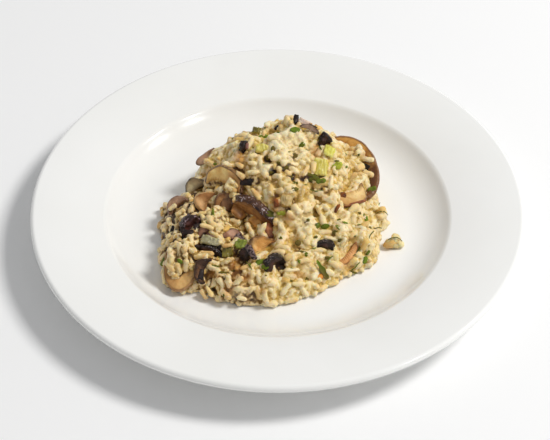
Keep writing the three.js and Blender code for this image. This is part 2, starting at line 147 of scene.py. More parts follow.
SLICES = {
    # face: the way the cut face looks; crown: the way from the stem to the top of the cap; finish;
    # power: 2 for a round crown, more for a flat one, less for a pointed one; curl: how far its ends bend
    # towards the face; rim: how wide the skin shows round the face, 1 for about a millimetre
    "mushroom_rear_right": ((-0.32, -0.46, 0.83), (0.81, 0.33, 0.49), "amber", 2.0, 1.0, 0.5),
    "mushroom_centre_strip": ((-0.5, -0.84, -0.15), (0.5, -0.2, 0.85), "umber", 3.2, 0.4, 1.0),
    "mushroom_upper_left": ((-0.5, -0.75, 0.42), (0.22, 0.45, 0.87), "honey", 2.3, 0.4, 0.6),
    "mushroom_left_tan": ((0.1, -0.6, 0.8), (-0.85, 0.15, 0.2), "tan", 2.0, 0.5, 0.5),
    "mushroom_left_grey": ((0.3, -0.8, 0.35), (-0.3, 0.3, 0.85), "dusk", 2.3, 0.3, 0.8),
    "mushroom_left_rim": ((-0.2, -0.5, 0.85), (-0.6, 0.7, 0.2), "grey", 2.0, 0.8, 4.5),
    "mushroom_far_left": ((-0.3, -0.3, 0.85), (-0.5, 0.8, 0), "clay", 2.0, 0.6, 1.2),
    "mushroom_left_dark": ((0.55, -0.75, 0.2), (-0.3, -0.3, 0.9), "maroon", 2.2, 0.5, 1.0),
    "mushroom_front_left": ((-0.15, -0.3, 0.94), (-0.2, -0.95, -0.3), "ivory", 2.0, 1.0, 0.5),
    "mushroom_front_brown": ((0.3, -0.7, 0.6), (-0.9, -0.1, 0.4), "bark", 2.0, 0.5, 0.6),
    "mushroom_front_gold": ((0.15, -0.6, 0.75), (-0.85, 0.3, 0.2), "gold", 2.2, 0.8, 8.0),
    "mushroom_front_black": ((0.6, -0.7, 0.1), (0.1, -0.5, 0.8), "black", 2.3, 0.5, 1.0),
    "mushroom_right_black": ((0.2, -0.9, 0.3), (0.1, 0.1, 1), "black", 2.3, 0.4, 1.0),
    "mushroom_right_sliver": ((0.3, -0.65, 0.7), (0.6, -0.5, -0.3), "salmon", 2.0, 0.5, 0.7),
    "mushroom_right_gold": ((0.3, -0.35, 0.87), (0.4, -0.85, -0.3), "straw", 4.0, 0.8, 2.2),
    "mushroom_top_black": ((0.3, -0.8, 0.3), (-0.1, 0.3, 0.9), "black", 1.4, 0.3, 1.0),
    "mushroom_crest_edge": ((-0.2, -0.4, 0.9), (0.5, 0.8, 0.2), "shell", 2.0, 0.5, 1.2),
    "mushroom_top_left": ((0.8, -0.5, 0.2), (-0.5, -0.3, 0.8), "black", 2.0, 0.3, 1.0),
    "mushroom_left_end": ((-0.2, -0.75, 0.6), (-0.85, -0.3, -0.35), "clay", 2.6, 0.1, 0.6),
    "mushroom_left_strip": ((-0.3, -0.8, 0.4), (0.2, 0.3, 0.9), "black", 2.2, 0.5, 1.0),
    "mushroom_front_dark": ((-0.6, -0.7, 0.4), (0.2, 0, 0.9), "black", 2.0, 0.3, 1.0),
    "mushroom_left_pink": ((0.1, -0.6, 0.8), (0.3, 0.8, 0.4), "rose", 2.0, 0.4, 0.8),
    "mushroom_left_rose": ((-0.1, -0.5, 0.85), (-0.4, 0.8, 0.3), "rose", 2.0, 0.3, 0.8),
}

STALKS = {
    # up: along the stalk; out: from its axis to its skin; finish; radius; wall; sweep in degrees
    "leek_top_ribbed": ((0, 0.8, 0.6), (0.2, -0.55, 0.8), "yellow", 9, 3, 50),
    "leek_top_bright": ((0.2, 0.9, 0.3), (0.4, -0.3, 0.85), "lime", 7, 2.6, 55),
    "leek_top_yellow": ((0, 0.85, 0.5), (0, -0.5, 0.85), "yellow", 9, 2.6, 52),
    "leek_crest_olive": ((0.3, 0.8, 0.4), (-0.3, -0.4, 0.85), "olive", 5, 2.2, 75),
    "leek_front_olive": ((0, 0.8, 0.6), (0.1, -0.6, 0.8), "olive", 7, 2.6, 55),
    "leek_front_green": ((0.4, 0.8, 0.4), (-0.1, -0.5, 0.85), "green", 6, 2.4, 62),
    "onion_centre": ((0.1, 0.8, 0.6), (0, -0.6, 0.8), "onion", 8, 2.8, 50),
    "leek_left_grey": ((0.2, 0.8, 0.6), (0, -0.6, 0.8), "pearl", 11, 2.4, 54),
}

LEAF = {"parsley_right": ((0.3, -0.6, 0.74), (0.5, -0.6, -0.6))}
LEAF_FORM = {
    "cuts": (16, 8), "lobes": 5, "cup": 0.35, "middle": 0.75, "broader": 0.3, "width": 0.8, "thickness": 0.6,
    "first_tone": 0.05, "more_tone": 0.8,
}

# Places below are as the camera sees them, in pixels of its view; each one is carried to the surface there.

MOUNDS = [
    # rice heaped over a slice: x, y, then its radius and height in millimetres
    (175, 262, 13, 8.0), (184, 246, 9, 3.0), (350, 168, 9, 2.5), (366, 181, 7, 6.0), (346, 213, 4, 2.5),
    (357, 209, 4, 2.5), (367, 205, 4, 2.0), (293, 121, 6, 5.5), (213, 155, 5, 1.6), (215, 222, 12, 4.0),
    (232, 189, 6, 2.5), (372, 254, 6, 7.0), (370, 265, 6, 9.0), (360, 271, 6, 6.0), (162, 211, 6, 7.0),
    (159, 263, 6, 5.0), (382, 219, 5, 8.0), (316, 290, 6, 5.0), (360, 156, 6, 5.0), (356, 172, 7, 3.0),
    (238, 282, 12, 2.0), (262, 292, 10, 1.5), (300, 228, 14, 1.5),
]

CREAMY = [
    # patches where the sauce nearly hides the grains and is painted paler, partly as painted light: x, y, half
    # width, half height, and how much if not wholly
    (284, 137, 20, 12), (296, 152, 32, 16, 0.4), (303, 220, 9, 14, 0.6), (215, 216, 9, 7, 0.3),
    (312, 272, 12, 7, 0.5), (236, 291, 9, 6, 0.6), (262, 168, 8, 5), (345, 222, 10, 8, 0.5),
]

GAPS = [
    # hollows between the pieces, with painted shade in them: x, y, half width, half height, depth in millimetres,
    # how dark the painted shade is from 0 to 1
    (192, 218, 8, 7, 3, 1.0), (250, 181, 9, 4, 5, 1.0), (183, 233, 4, 7, 3, 1.0), (172, 230, 4, 5, 2, 1.0),
    (206, 247, 12, 3, 2, 1.0), (218, 250, 5, 6, 4, 1.0), (243, 254, 6, 6, 4, 1.0), (201, 276, 5, 9, 4, 1.0),
    (197, 262, 6, 8, 2, 0.9), (190, 197, 7, 4, 3, 1.0), (281, 262, 5, 11, 3, 1.0), (268, 237, 6, 3, 3, 0.9),
    (247, 219, 3, 6, 3, 1.0), (212, 277, 6, 3, 2, 0.7), (285, 167, 10, 4, 2.5, 1.0),
    (311, 178, 11, 4, 2.5, 1.0), (294, 157, 5, 4, 2, 0.8), (291, 177, 4, 4, 2, 1.0), (271, 172, 5, 4, 2, 1.0),
    (268, 158, 4, 4, 2, 1.0), (258, 153, 3, 5, 1.5, 0.6), (322, 190, 8, 4, 2, 0.9), (317, 207, 4, 6, 1.2, 0.6),
    (212, 183, 5, 3, 2, 0.9), (237, 172, 7, 5, 2, 0.8), (229, 206, 4, 6, 2, 0.9), (205, 236, 5, 3, 1.5, 0.8),
    (240, 236, 6, 2, 2, 0.9), (256, 238, 4, 3, 2, 0.8), (300, 250, 6, 3, 1.5, 0.6), (235, 270, 4, 7, 1.5, 0.5),
    (262, 291, 4, 4, 1.5, 0.5), (365, 167, 5, 4, 2, 0.9), (288, 204, 7, 7, 1.5, 0.7),
    (276, 202, 4, 7, 1.5, 0.8), (186, 208, 5, 4, 2, 0.7), (170, 301, 15, 9, 12, 0.0),
    (190, 301, 11, 9, 12, 0.0), (156, 292, 6, 9, 12, 0.0), (192, 202, 4, 6, 3, 1.0), (364, 165, 4, 3, 3, 1.0),
    (230, 206, 3, 8, 3, 1.0), (246, 218, 3, 7, 5, 1.0), (240, 222, 8, 4, 1.6, 0.5), (371, 199, 7, 14, 14, 0.0),
    (377, 203, 5, 8, 8, 0.0), (160, 239, 3, 6, 3, 0.0), (258, 168, 10, 9, 0, 0.3), (274, 183, 10, 9, 0, 0.4),
    (292, 192, 10, 9, 0, 0.35), (302, 170, 10, 8, 0, 0.3), (312, 192, 10, 9, 0, 0.3), (290, 212, 9, 9, 0, 0.35),
    (296, 240, 8, 8, 0, 0.25), (335, 175, 8, 8, 0, 0.2), (345, 282, 7, 5, 6, 0.0), (268, 127, 12, 8, 5, 0.0),
    (282, 122, 8, 8, 4, 0.0), (272, 122, 8, 6, 5, 0.0), (262, 126, 7, 6, 3, 0.0), (329, 131, 6, 5, 3, 0.0),
    (225, 297, 5, 3, 1.2, 0.5), (250, 280, 5, 4, 1.2, 0.4), (300, 275, 6, 3, 1.2, 0.4),
    (334, 233, 4, 4, 1.2, 0.5),
]

STAINS = [
    # rice that brown juice has coloured: x, y, half width, half height, how much
    (240, 157, 6, 7, 0.9), (236, 267, 5, 9, 0.9), (247, 277, 5, 4, 0.8), (347, 267, 6, 4, 0.7),
    (262, 291, 4, 3, 0.7), (298, 274, 5, 3, 0.7), (258, 192, 4, 3, 0.7), (276, 204, 5, 7, 1.0),
    (289, 218, 5, 4, 0.9), (316, 151, 5, 6, 0.8), (366, 154, 4, 3, 0.7), (206, 176, 5, 6, 0.6),
    (232, 208, 5, 6, 0.8), (213, 275, 6, 3, 0.8), (228, 290, 5, 5, 0.5),
]

BARE = [
    # places where no grain lies over a piece: x, y, half width, half height
    (340, 140, 6, 4), (350, 141, 7, 4), (360, 145, 6, 4), (367, 151, 5, 5), (373, 160, 4, 7), (370, 169, 8, 5),
    (377, 175, 3, 7), (379, 184, 3, 6), (240, 192, 7, 5), (247, 199, 7, 6), (254, 205, 7, 6), (261, 211, 7, 6),
    (268, 216, 7, 5), (275, 220, 4, 4), (240, 211, 8, 7), (256, 221, 6, 6), (268, 231, 7, 8), (219, 178, 14, 8),
    (236, 175, 7, 7), (205, 203, 9, 11), (223, 200, 9, 10), (195, 189, 10, 8), (178, 201, 10, 4),
    (190, 220, 8, 7), (182, 285, 18, 8), (195, 277, 6, 6), (198, 266, 7, 12), (262, 247, 13, 9),
    (275, 265, 8, 10), (243, 254, 5, 6), (325, 245, 8, 5), (350, 246, 5, 5), (341, 256, 5, 5),
    (350, 193, 14, 6), (361, 192, 8, 5), (325, 138, 7, 6), (296, 118, 4, 6), (309, 125, 8, 3), (244, 145, 4, 7),
    (201, 157, 7, 5), (233, 234, 8, 4), (207, 233, 5, 3), (204, 246, 12, 4), (321, 165, 5, 7), (329, 151, 5, 5),
    (263, 147, 6, 4), (255, 130, 4, 3), (230, 251, 5, 5), (240, 243, 4, 4), (209, 241, 7, 3), (285, 200, 5, 5),
    (323, 266, 4, 7),
]

BOLD_GRAINS = [
    # both ends of a grain that stands out, and its width in pixels
    (169, 219, 171, 226, 6), (170, 210, 176, 206, 6), (177, 215, 185, 211, 6), (202, 216, 206, 226, 7),
    (208, 209, 211, 222, 6), (216, 207, 228, 216, 7), (218, 219, 220, 226, 6), (224, 224, 229, 227, 7),
    (232, 220, 240, 223, 7), (201, 225, 213, 229, 6), (220, 231, 222, 237, 6), (210, 232, 218, 237, 6),
    (247, 224, 254, 237, 7), (266, 224, 260, 234, 7), (279, 223, 285, 233, 6), (223, 246, 232, 245, 5.5),
    (247, 245, 252, 256, 4.5), (191, 239, 199, 237, 4.5), (201, 252, 213, 255, 5.5), (223, 263, 234, 259, 5.5),
    (203, 259, 219, 265, 5.5), (206, 266, 220, 271, 5.5), (169, 250, 179, 244, 6), (182, 243, 185, 251, 6),
    (170, 257, 178, 253, 8), (183, 254, 185, 263, 7), (169, 266, 178, 264, 7), (169, 272, 178, 277, 7),
    (189, 256, 191, 264, 5.5), (228, 275, 230, 287, 7), (219, 279, 224, 287, 6), (235, 284, 243, 278, 6),
    (202, 290, 207, 298, 5.5), (207, 287, 213, 296, 5.5), (222, 291, 230, 298, 7), (238, 297, 246, 299, 6),
    (258, 271, 260, 283, 7), (241, 269, 252, 266, 6), (252, 258, 260, 258, 4.5), (264, 291, 267, 302, 7),
    (227, 185, 236, 191, 8), (237, 164, 243, 167, 6), (206, 161, 216, 166, 7), (238, 173, 244, 178, 7),
    (247, 173, 258, 173, 6), (250, 157, 255, 155, 6), (249, 163, 256, 164, 6), (272, 160, 279, 157, 6),
    (252, 189, 260, 199, 6), (207, 191, 214, 193, 6), (351, 149, 360, 154, 7), (362, 158, 373, 161, 6),
    (362, 172, 373, 176, 7), (357, 180, 368, 184, 7), (345, 158, 355, 166, 6), (317, 206, 320, 214, 6),
    (292, 284, 304, 284, 6), (311, 252, 325, 250, 5.5), (341, 246, 346, 237, 6), (298, 262, 310, 261, 6),
]

HERBS = [
    # centre x and y, length, width, turn in degrees, tone; the dark and teal flecks in the gaps at the top stand
    # partly for painted shade there
    (268, 158, 5, 5, 0, "dark"), (271, 173, 6, 4, 10, "dark"), (279, 163, 5, 3, -30, "dark"),
    (285, 168, 8, 4, 20, "dark"), (294, 157, 6, 5, 60, "brown"), (291, 176, 6, 3, 90, "dark"),
    (257, 153, 7, 3, 90, "brown"), (273, 149, 5, 3, 90, "brown"), (302, 145, 5, 4, 50, "olive"),
    (309, 175, 8, 4, -20, "dark"), (318, 180, 11, 4, -15, "dark"), (295, 130, 8, 4, 0, "green"),
    (372, 189, 7, 4, 20, "olive"), (337, 161, 5, 2, 0, "dark"), (337, 166, 9, 6, 30, "lime"),
    (312, 178, 15, 5, -15, "teal"), (321, 181, 8, 4, 10, "olive"), (215, 164, 3, 2, 0, "olive"),
    (295, 189, 8, 4, 0, "dark"), (180, 261, 5, 3, -40, "green"), (216, 266, 6, 2, -20, "dark"),
    (302, 252, 8, 3, 0, "dark"), (317, 226, 6, 4, 50, "olive"), (325, 226, 7, 4, 10, "olive"),
    (335, 232, 6, 4, 40, "dark"), (341, 240, 7, 4, 20, "dark"), (366, 220, 6, 3, 80, "green"),
    (370, 228, 3, 3, 0, "dark"), (365, 260, 6, 4, 70, "green"), (291, 281, 4, 3, 0, "dark"),
    (307, 279, 7, 3, 60, "dark"), (213, 214, 10, 2, 90, "olive"), (255, 225, 4, 2, 0, "olive"),
    (261, 263, 9, 7, 30, "green"), (265, 267, 6, 4, 0, "green"), (270, 214, 9, 4, -15, "teal"),
    (281, 212, 7, 6, 0, "lime"), (163, 262, 7, 5, 80, "olive"), (264, 137, 9, 4, 5, "green"),
    (327, 258, 8, 3, 5, "dark"), (353, 272, 9, 3, -15, "dark"), (223, 273, 9, 4, 0, "dark"),
    (316, 237, 4, 3, 0, "dark"), (298, 243, 5, 4, 0, "brown"), (339, 220, 4, 3, 20, "dark"),
    (280, 164, 4, 3, 0, "dark"), (233, 271, 3, 2, 0, "brown"),
]

STEMS = [
    # both ends and how far the middle bows
    (374, 231, 366, 244, -1.0), (360, 247, 352, 256, 1.0), (377, 213, 388, 215, 2.6), (371, 229, 382, 228, 0.6),
    (310, 190, 324, 190, -1.2), (246, 262, 252, 270, 0.6), (212, 265, 220, 267, -0.6),
    (388, 240, 402, 241, 3.0), (327, 262, 333, 256, 0.4), (352, 270, 360, 262, -0.5),
]

SHREDS = [
    # centre x and y, length, width, turn in degrees, finish; the near-black ones that fill the gaps are painted
    # shade
    (355, 203, 22, 2.4, 20, "chestnut"), (304, 122, 12, 6, -30, "blush"), (309, 124, 18, 1.8, -27, "dark_bits_and_shade"),
    (239, 211, 15, 12, -40, "amber"), (256, 221, 12, 10, -50, "ochre"), (270, 231, 17, 9, -60, "chestnut"),
    (226, 201, 21, 12, 80, "dusk"), (241, 240, 16, 6, -50, "skin"), (251, 252, 16, 6, -62, "skin"),
    (276, 203, 8, 5, 90, "russet"), (320, 277, 9, 5, 25, "carrot"), (343, 195, 6, 5, 0, "russet"),
    (173, 230, 8, 5, 80, "dark_bits_and_shade"), (183, 234, 13, 4, 100, "dark_bits_and_shade"), (243, 145, 9, 4, 95, "dark_bits_and_shade"),
    (247, 146, 6, 3, 90, "rose"), (210, 236, 10, 5, -30, "rose"), (249, 181, 17, 9, 0, "dark_bits_and_shade"),
    (196, 246, 12, 4, -25, "dark_bits_and_shade"), (220, 250, 10, 6, 70, "dark_bits_and_shade"), (197, 226, 8, 5, 30, "dark_bits_and_shade"),
    (188, 232, 10, 6, -10, "dark_bits_and_shade"), (296, 119, 10, 5, 75, "dark_bits_and_shade"), (337, 209, 10, 3, 65, "russet"),
    (366, 167, 9, 6, -10, "dark_bits_and_shade"), (201, 274, 12, 6, 80, "dark_bits_and_shade"), (247, 181, 10, 5, 10, "dark_bits_and_shade"),
]

SCATTERED = {"herbs": 60, "shreds": 14}
PATCH_REACH = 13.0  # how far from its middle an oval of the view reaches along the heap
FAR_AWAY = 9.0

SEED = 7
rng = np.random.default_rng(SEED)
noise.seed_set(SEED)  # else the clock decides where the noise's vectors start


# ---------- Shader graph ----------

class Value:
    """A socket that Python's operators work on by adding Math nodes."""

    def __init__(self, graph, socket):
        self.graph = graph
        self.socket = socket

    def maths(self, operation, first, second=0.0):
        return self.graph.node("Math", {"operation": operation}, {0: first, 1: second})

    def __add__(self, other):
        return self.maths("ADD", self, other)

    def __radd__(self, other):
        return self.maths("ADD", other, self)

    def __sub__(self, other):
        return self.maths("SUBTRACT", self, other)

    def __rsub__(self, other):
        return self.maths("SUBTRACT", other, self)

    def __mul__(self, other):
        return self.maths("MULTIPLY", self, other)

    def __rmul__(self, other):
        return self.maths("MULTIPLY", other, self)

    def sine(self):
        return self.maths("SINE", self)

    def between(self, low, high):
        """0 at low, 1 at high, held outside them; low may be the larger."""
        return self.graph.node("MapRange", {"clamp": True}, {"Value": self, "From Min": low, "From Max": high})


class Graph:
    """The node tree of one material, ending in one Principled shader."""

    def __init__(self, name):
        self.material = bpy.data.materials.new(name)
        self.material.use_nodes = True
        self.tree = self.material.node_tree
        self.shader = self.tree.nodes["Principled BSDF"]

    def feed(self, socket, value):
        if isinstance(value, Value):
            self.tree.links.new(value.socket, socket)
        elif socket.type == "RGBA":
            socket.default_value = (*value, 1.0)
        else:
            socket.default_value = value

    def node(self, kind, settings=None, values=None, out=0):
        made = self.tree.nodes.new("ShaderNode" + kind)
        for key, setting in (settings or {}).items():
            setattr(made, key, setting)
        for key, value in (values or {}).items():
            self.feed(made.inputs[key], value)
        return Value(self, made.outputs[out])

    def place(self):
        return self.node("TexCoord", out="Object")

    def attribute(self, name):
        return self.node("Attribute", {"attribute_name": name}, out="Fac")

    def noise(self, size, detail=3.0, distortion=0.0):
        """A noise whose largest blobs are about size metres across."""
        values = {"Vector": self.place(), "Scale": 1.0 / size, "Detail": detail, "Distortion": distortion}
        return self.node("TexNoise", {}, values)

    def mix(self, factor, first, second, blend="MIX"):
        settings = {"data_type": "RGBA", "blend_type": blend}
        return self.node("Mix", settings, {0: factor, 6: first, 7: second}, out=2)

    def bump(self, height, depth):
        return self.node("Bump", {}, {"Height": height, "Distance": depth})

    def set(self, **values):
        for key, value in values.items():
            self.feed(self.shader.inputs[key.replace("_", " ")], value)
        return self.material


def srgb(red, green, blue):
    """A colour given as it looks on a screen, 0 to 255, as the linear colour that a shader takes."""
    def linear(value):
        value /= 255.0
        return value / 12.92 if value <= 0.04045 else ((value + 0.055) / 1.055) ** 2.4
    return tuple(linear(value) for value in (red, green, blue))


def paints(colours):
    """A row of colours as the shader takes them."""
    return [srgb(*colour) for colour in colours]


def soft(weight, kind):
    """Settings for light that sinks into food: how much of it does, and how far."""
    return {"Subsurface_Weight": weight, "Subsurface_Radius": GLOW[kind], "Subsurface_Scale": 1.0}


# ---------- Making pieces ----------

def linked(name, data):
    """A new object in the scene."""
    made = bpy.data.objects.new(name, data)
    bpy.context.scene.collection.objects.link(made)
    return made


def object_of(mesh, name, material):
    """A smooth piece from a mesh that is already in its place."""
    mesh.polygons.foreach_set("use_smooth", [True] * len(mesh.polygons))
    mesh.materials.append(material)
    return linked(name, mesh)


def object_from(bm, name, material):
    """Closes a bmesh into an object at the origin, its faces split so that each run gives the same ones."""
    bmesh.ops.recalc_face_normals(bm, faces=bm.faces)
    bmesh.ops.triangulate(bm, faces=bm.faces, quad_method="SHORT_EDGE", ngon_method="BEAUTY")
    mesh = bpy.data.meshes.new(name)
    bm.to_mesh(mesh)
    bm.free()
    return object_of(mesh, name, material)


def finish_piece(piece, slot, *nodes):
    """Ties a piece to the body and hides the nodes that it stands for; slot is not used."""
    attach(piece, BODY)
    if nodes:
        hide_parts(*nodes)


def box_of(node):
    """A node's lowest and highest corners, in millimetres."""
    return [np.array(corner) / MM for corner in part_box(node)]


def corners_of(mesh):
    """A mesh's corners, in millimetres."""
    return np.array([vertex.co for vertex in mesh.vertices]) / MM


def add_number(mesh, name, values):
    """Gives each corner of a mesh a number for its finish to read."""
    mesh.attributes.new(name, "FLOAT", "POINT").data.foreach_set("value", values)


def any_shift():
    """A place at random in the noise, for a shape's own waves."""
    return Vector(rng.uniform(-50, 50, 3))


def arrays_of(bm):
    """Corners and faces of a bmesh that is done with."""
    bm.verts.index_update()
    corners = np.array([vertex.co for vertex in bm.verts])
    faces = [[vertex.index for vertex in face.verts] for face in bm.faces]
    bm.free()
    return corners, faces


def joined_mesh(name, parts, numbers):
    """One mesh from (corners, faces) parts; numbers gives an attribute's value for each part."""
    counts = [len(corners) for corners, _ in parts]
    starts = np.cumsum([0] + counts[:-1])
    corners = np.concatenate([corners for corners, _ in parts]) * MM
    faces = [[start + index for index in face] for start, (_, part) in zip(starts, parts) for face in part]
    mesh = bpy.data.meshes.new(name)
    mesh.from_pydata(corners.tolist(), [], faces)
    for key, values in numbers.items():
        add_number(mesh, key, np.repeat(values, counts))
    return mesh


def make_joined(name, parts, numbers, finish, slot, *nodes):
    """One piece of many small parts."""
    finish_piece(object_of(joined_mesh(name, parts, numbers), name, finish), slot, *nodes)


# ---------- Camera, table and lights ----------

def view_axes():
    """Right, up and back of the camera, and where it stands."""
    elevation = math.radians(VIEW["elevation"])
    right = Vector((1, 0, 0))
    up = Vector((0, math.sin(elevation), math.cos(elevation)))
    back = Vector((0, -math.cos(elevation), math.sin(elevation)))
    stand = back * VIEW["distance"] + right * VIEW["pan_right"] + up * VIEW["pan_up"]
    return right, up, back, stand


def make_camera():
    data = bpy.data.cameras.new("camera")
    data.lens = VIEW["lens"]
    data.sensor_width = VIEW["sensor"]
    data.clip_start = VIEW["nearest"] * MM
    camera = linked("camera", data)
    camera.location = view_axes()[3] * MM
    camera.rotation_euler = (math.pi / 2 - math.radians(VIEW["elevation"]), 0, 0)
    bpy.context.scene.camera = camera


def view_ray(x, y):
    """The camera's ray through a pixel."""
    right, up, back, stand = view_axes()
    scale = VIEW["sensor"] / VIEW["lens"] / VIEW["wide"]
    ray = right * ((x - VIEW["wide"] / 2) * scale) + up * ((VIEW["high"] / 2 - y) * scale) - back
    return stand, ray.normalized()


def make_table():
    graph = Graph("table_white")
    colour = graph.mix(graph.noise(0.5, 2.0), srgb(246, 246, 246), srgb(249, 249, 249))
    graph.set(Base_Color=colour, Roughness=0.75)
    bm = bmesh.new()
    bmesh.ops.create_grid(bm, x_segments=TABLE["cells"], y_segments=TABLE["cells"], size=TABLE["half_width"])
    object_from(bm, "table", graph.material)


def make_area_light(name, towards, distance, size, power, colour, glints):
    """A round lamp; with glints it shows only as gleams on what is glossy, without them it does all else."""
    data = bpy.data.lights.new(name, "AREA")
    data.shape = "DISK"
    data.size = size
    data.energy = power
    data.color = colour
    lamp = linked(name, data)
    direction = Vector(towards).normalized()
    lamp.location = direction * distance
    lamp.rotation_euler = direction.to_track_quat("Z", "Y").to_euler()
    lamp.visible_glossy = glints
    lamp.visible_diffuse = not glints


def make_lights():
    for name, lamp in LAMPS.items():
        make_area_light(name, *lamp)
    world = bpy.data.worlds.new("room")
    world.use_nodes = True
    background = world.node_tree.nodes["Background"]
    background.inputs["Color"].default_value = ROOM["colour"]
    background.inputs["Strength"].default_value = ROOM["strength"]
    bpy.context.scene.world = world
    bpy.context.scene.view_settings.view_transform = "Standard"


# ---------- Plate ----------

def bezier(start, control, end, steps):
    for i in range(1, steps + 1):
        t = i / steps
        yield tuple((1 - t) ** 2 * a + 2 * t * (1 - t) * b + t * t * c for a, b, c in zip(start, control, end))


def arc(x, z, radius, first, last, steps):
    for i in range(steps + 1):
        angle = math.radians(first + (last - first) * i / steps)
        yield (x + radius * math.cos(angle), z + radius * math.sin(angle))


def plate_profile():
    """The plate's section from the middle of its underside, round the lip, to the middle of its well."""
    p = PLATE
    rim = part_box("plate")[1][0] / MM - p["inset"]
    foot = p["foot_radius"]
    foot_in = foot - p["foot_width"]
    flare = p["foot_flare"]
    recess = p["floor_height"] - p["wall"]
    low = (p["floor_radius"] + p["wall"], recess)
    high = (p["well_radius"] + p["wall"] * 0.8, p["well_edge_height"] - p["wall"])
    bend = (p["wall_bend_radius"] + p["wall"] * 0.7, recess)
    shoulder = p["well_edge_round"]
    edge_out = (p["well_radius"] + shoulder, p["well_edge_height"] + shoulder * 0.45)
    edge_top = (p["well_radius"] + shoulder * 0.3, p["well_edge_height"] + shoulder * 0.2)
    edge_in = (p["well_radius"] - shoulder * 0.5, p["well_edge_height"] - shoulder * 0.6)
    floor = (p["floor_radius"], p["floor_height"])
    points = [(0, recess), (foot_in - p["foot_height"] - 1, recess)]
    points += bezier(points[-1], (foot_in - flare, recess), (foot_in, p["foot_flare_height"]), 5)
    points += arc(foot_in + p["foot_round"], p["foot_round"], p["foot_round"], 180, 270, 4)
    points += arc(foot - p["foot_round"], p["foot_round"], p["foot_round"], 270, 360, 4)
    points += bezier((foot, p["foot_flare_height"]), (foot + flare, recess * 0.8), low, 5)
    points += bezier(low, bend, high, 14)
    points += arc(rim - p["lip_radius"], p["rim_height"] - p["lip_radius"], p["lip_radius"], -80, 100, 16)
    points += [edge_out]
    points += bezier(edge_out, edge_top, edge_in, 6)
    points += bezier(edge_in, (p["wall_bend_radius"], p["floor_height"]), floor, 20)
    points += [(p["floor_radius"] * part, p["floor_height"]) for part in (0.75, 0.5, 0.25, 0)]
    return points


def glaze():
    """White glaze with a faint waviness and a thinner, greyer coat in patches."""
    graph = Graph("white_glaze")
    pool = graph.noise(0.06, 3.0)
    colour = graph.mix(pool.between(0.35, 0.7), srgb(243, 243, 240), srgb(246, 246, 244))
    waves = graph.noise(0.035, 1.0)
    graph.set(
        Base_Color=colour, Roughness=0.16 + 0.06 * graph.noise(0.02, 2.0), IOR=1.5, Coat_Weight=0.5,
        Coat_Roughness=0.04, Normal=graph.bump(waves, 0.0004),
    )
    return graph.material


def make_plate():
    bm = bmesh.new()
    corners = [bm.verts.new((x * MM, 0, z * MM)) for x, z in plate_profile()]
    edges = [bm.edges.new(pair) for pair in zip(corners, corners[1:])]
    bmesh.ops.spin(
        bm, geom=corners + edges, cent=(0, 0, 0), axis=(0, 0, 1), angle=2 * math.pi, steps=PLATE["spins"],
        use_merge=True, use_duplicate=False,
    )
    bmesh.ops.remove_doubles(bm, verts=bm.verts, dist=PLATE["weld"] * MM)
    finish_piece(object_from(bm, "dinner_plate", glaze()), "plate_glaze", "plate")


# ---------- What carries what: trees of faces to cast rays at, in millimetres ----------

def tree_of(meshes):
    """A tree of all the faces of some meshes."""
    corners, faces = [], []
    for mesh in meshes:
        start = len(corners)
        corners += [vertex.co / MM for vertex in mesh.vertices]
        faces += [[start + index for index in face.vertices] for face in mesh.polygons]
    return BVHTree.FromPolygons(corners, faces)


def tree_of_nodes(*names):
    return tree_of([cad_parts[name].data for name in names])


def seen_at(tree, x, y):
    """Where the camera's ray through a pixel meets the tree, and the way the surface looks there."""
    place, normal = tree.ray_cast(*view_ray(x, y))[:2]
    if place is None:
        return None, None
    return place, normal if normal.dot(view_axes()[2]) > 0 else -normal


def pixel_size(place):
    """How wide one pixel of the view is at a place."""
    return (view_axes()[3] - place).length * VIEW["sensor"] / VIEW["lens"] / VIEW["wide"]


def pixels_of(points):
    """Where the camera sees points, in pixels of its view."""
    right, up, back, stand = (np.array(axis) for axis in view_axes())
    away = points - stand
    scale = VIEW["lens"] / VIEW["sensor"] * VIEW["wide"] / -(away @ back)
    return np.stack([VIEW["wide"] / 2 + away @ right * scale, VIEW["high"] / 2 - away @ up * scale], axis=1)


packed_tree = tree_of_nodes("risotto", "plate", *SLICES, *STALKS)


def oval_distance(points, x, y, half_wide, half_high):
    """How far points are from the middle of an oval of the view, 1 at its edge, and how far behind it they lie."""
    place = np.array(seen_at(packed_tree, x, y)[0])
    gap = np.hypot(*((pixels_of(points) - (x, y)) / (half_wide, half_high)).T)
    gap[np.linalg.norm(points - place, axis=1) > PATCH_REACH] = FAR_AWAY
    return gap, (place - points) @ np.array(view_axes()[2])


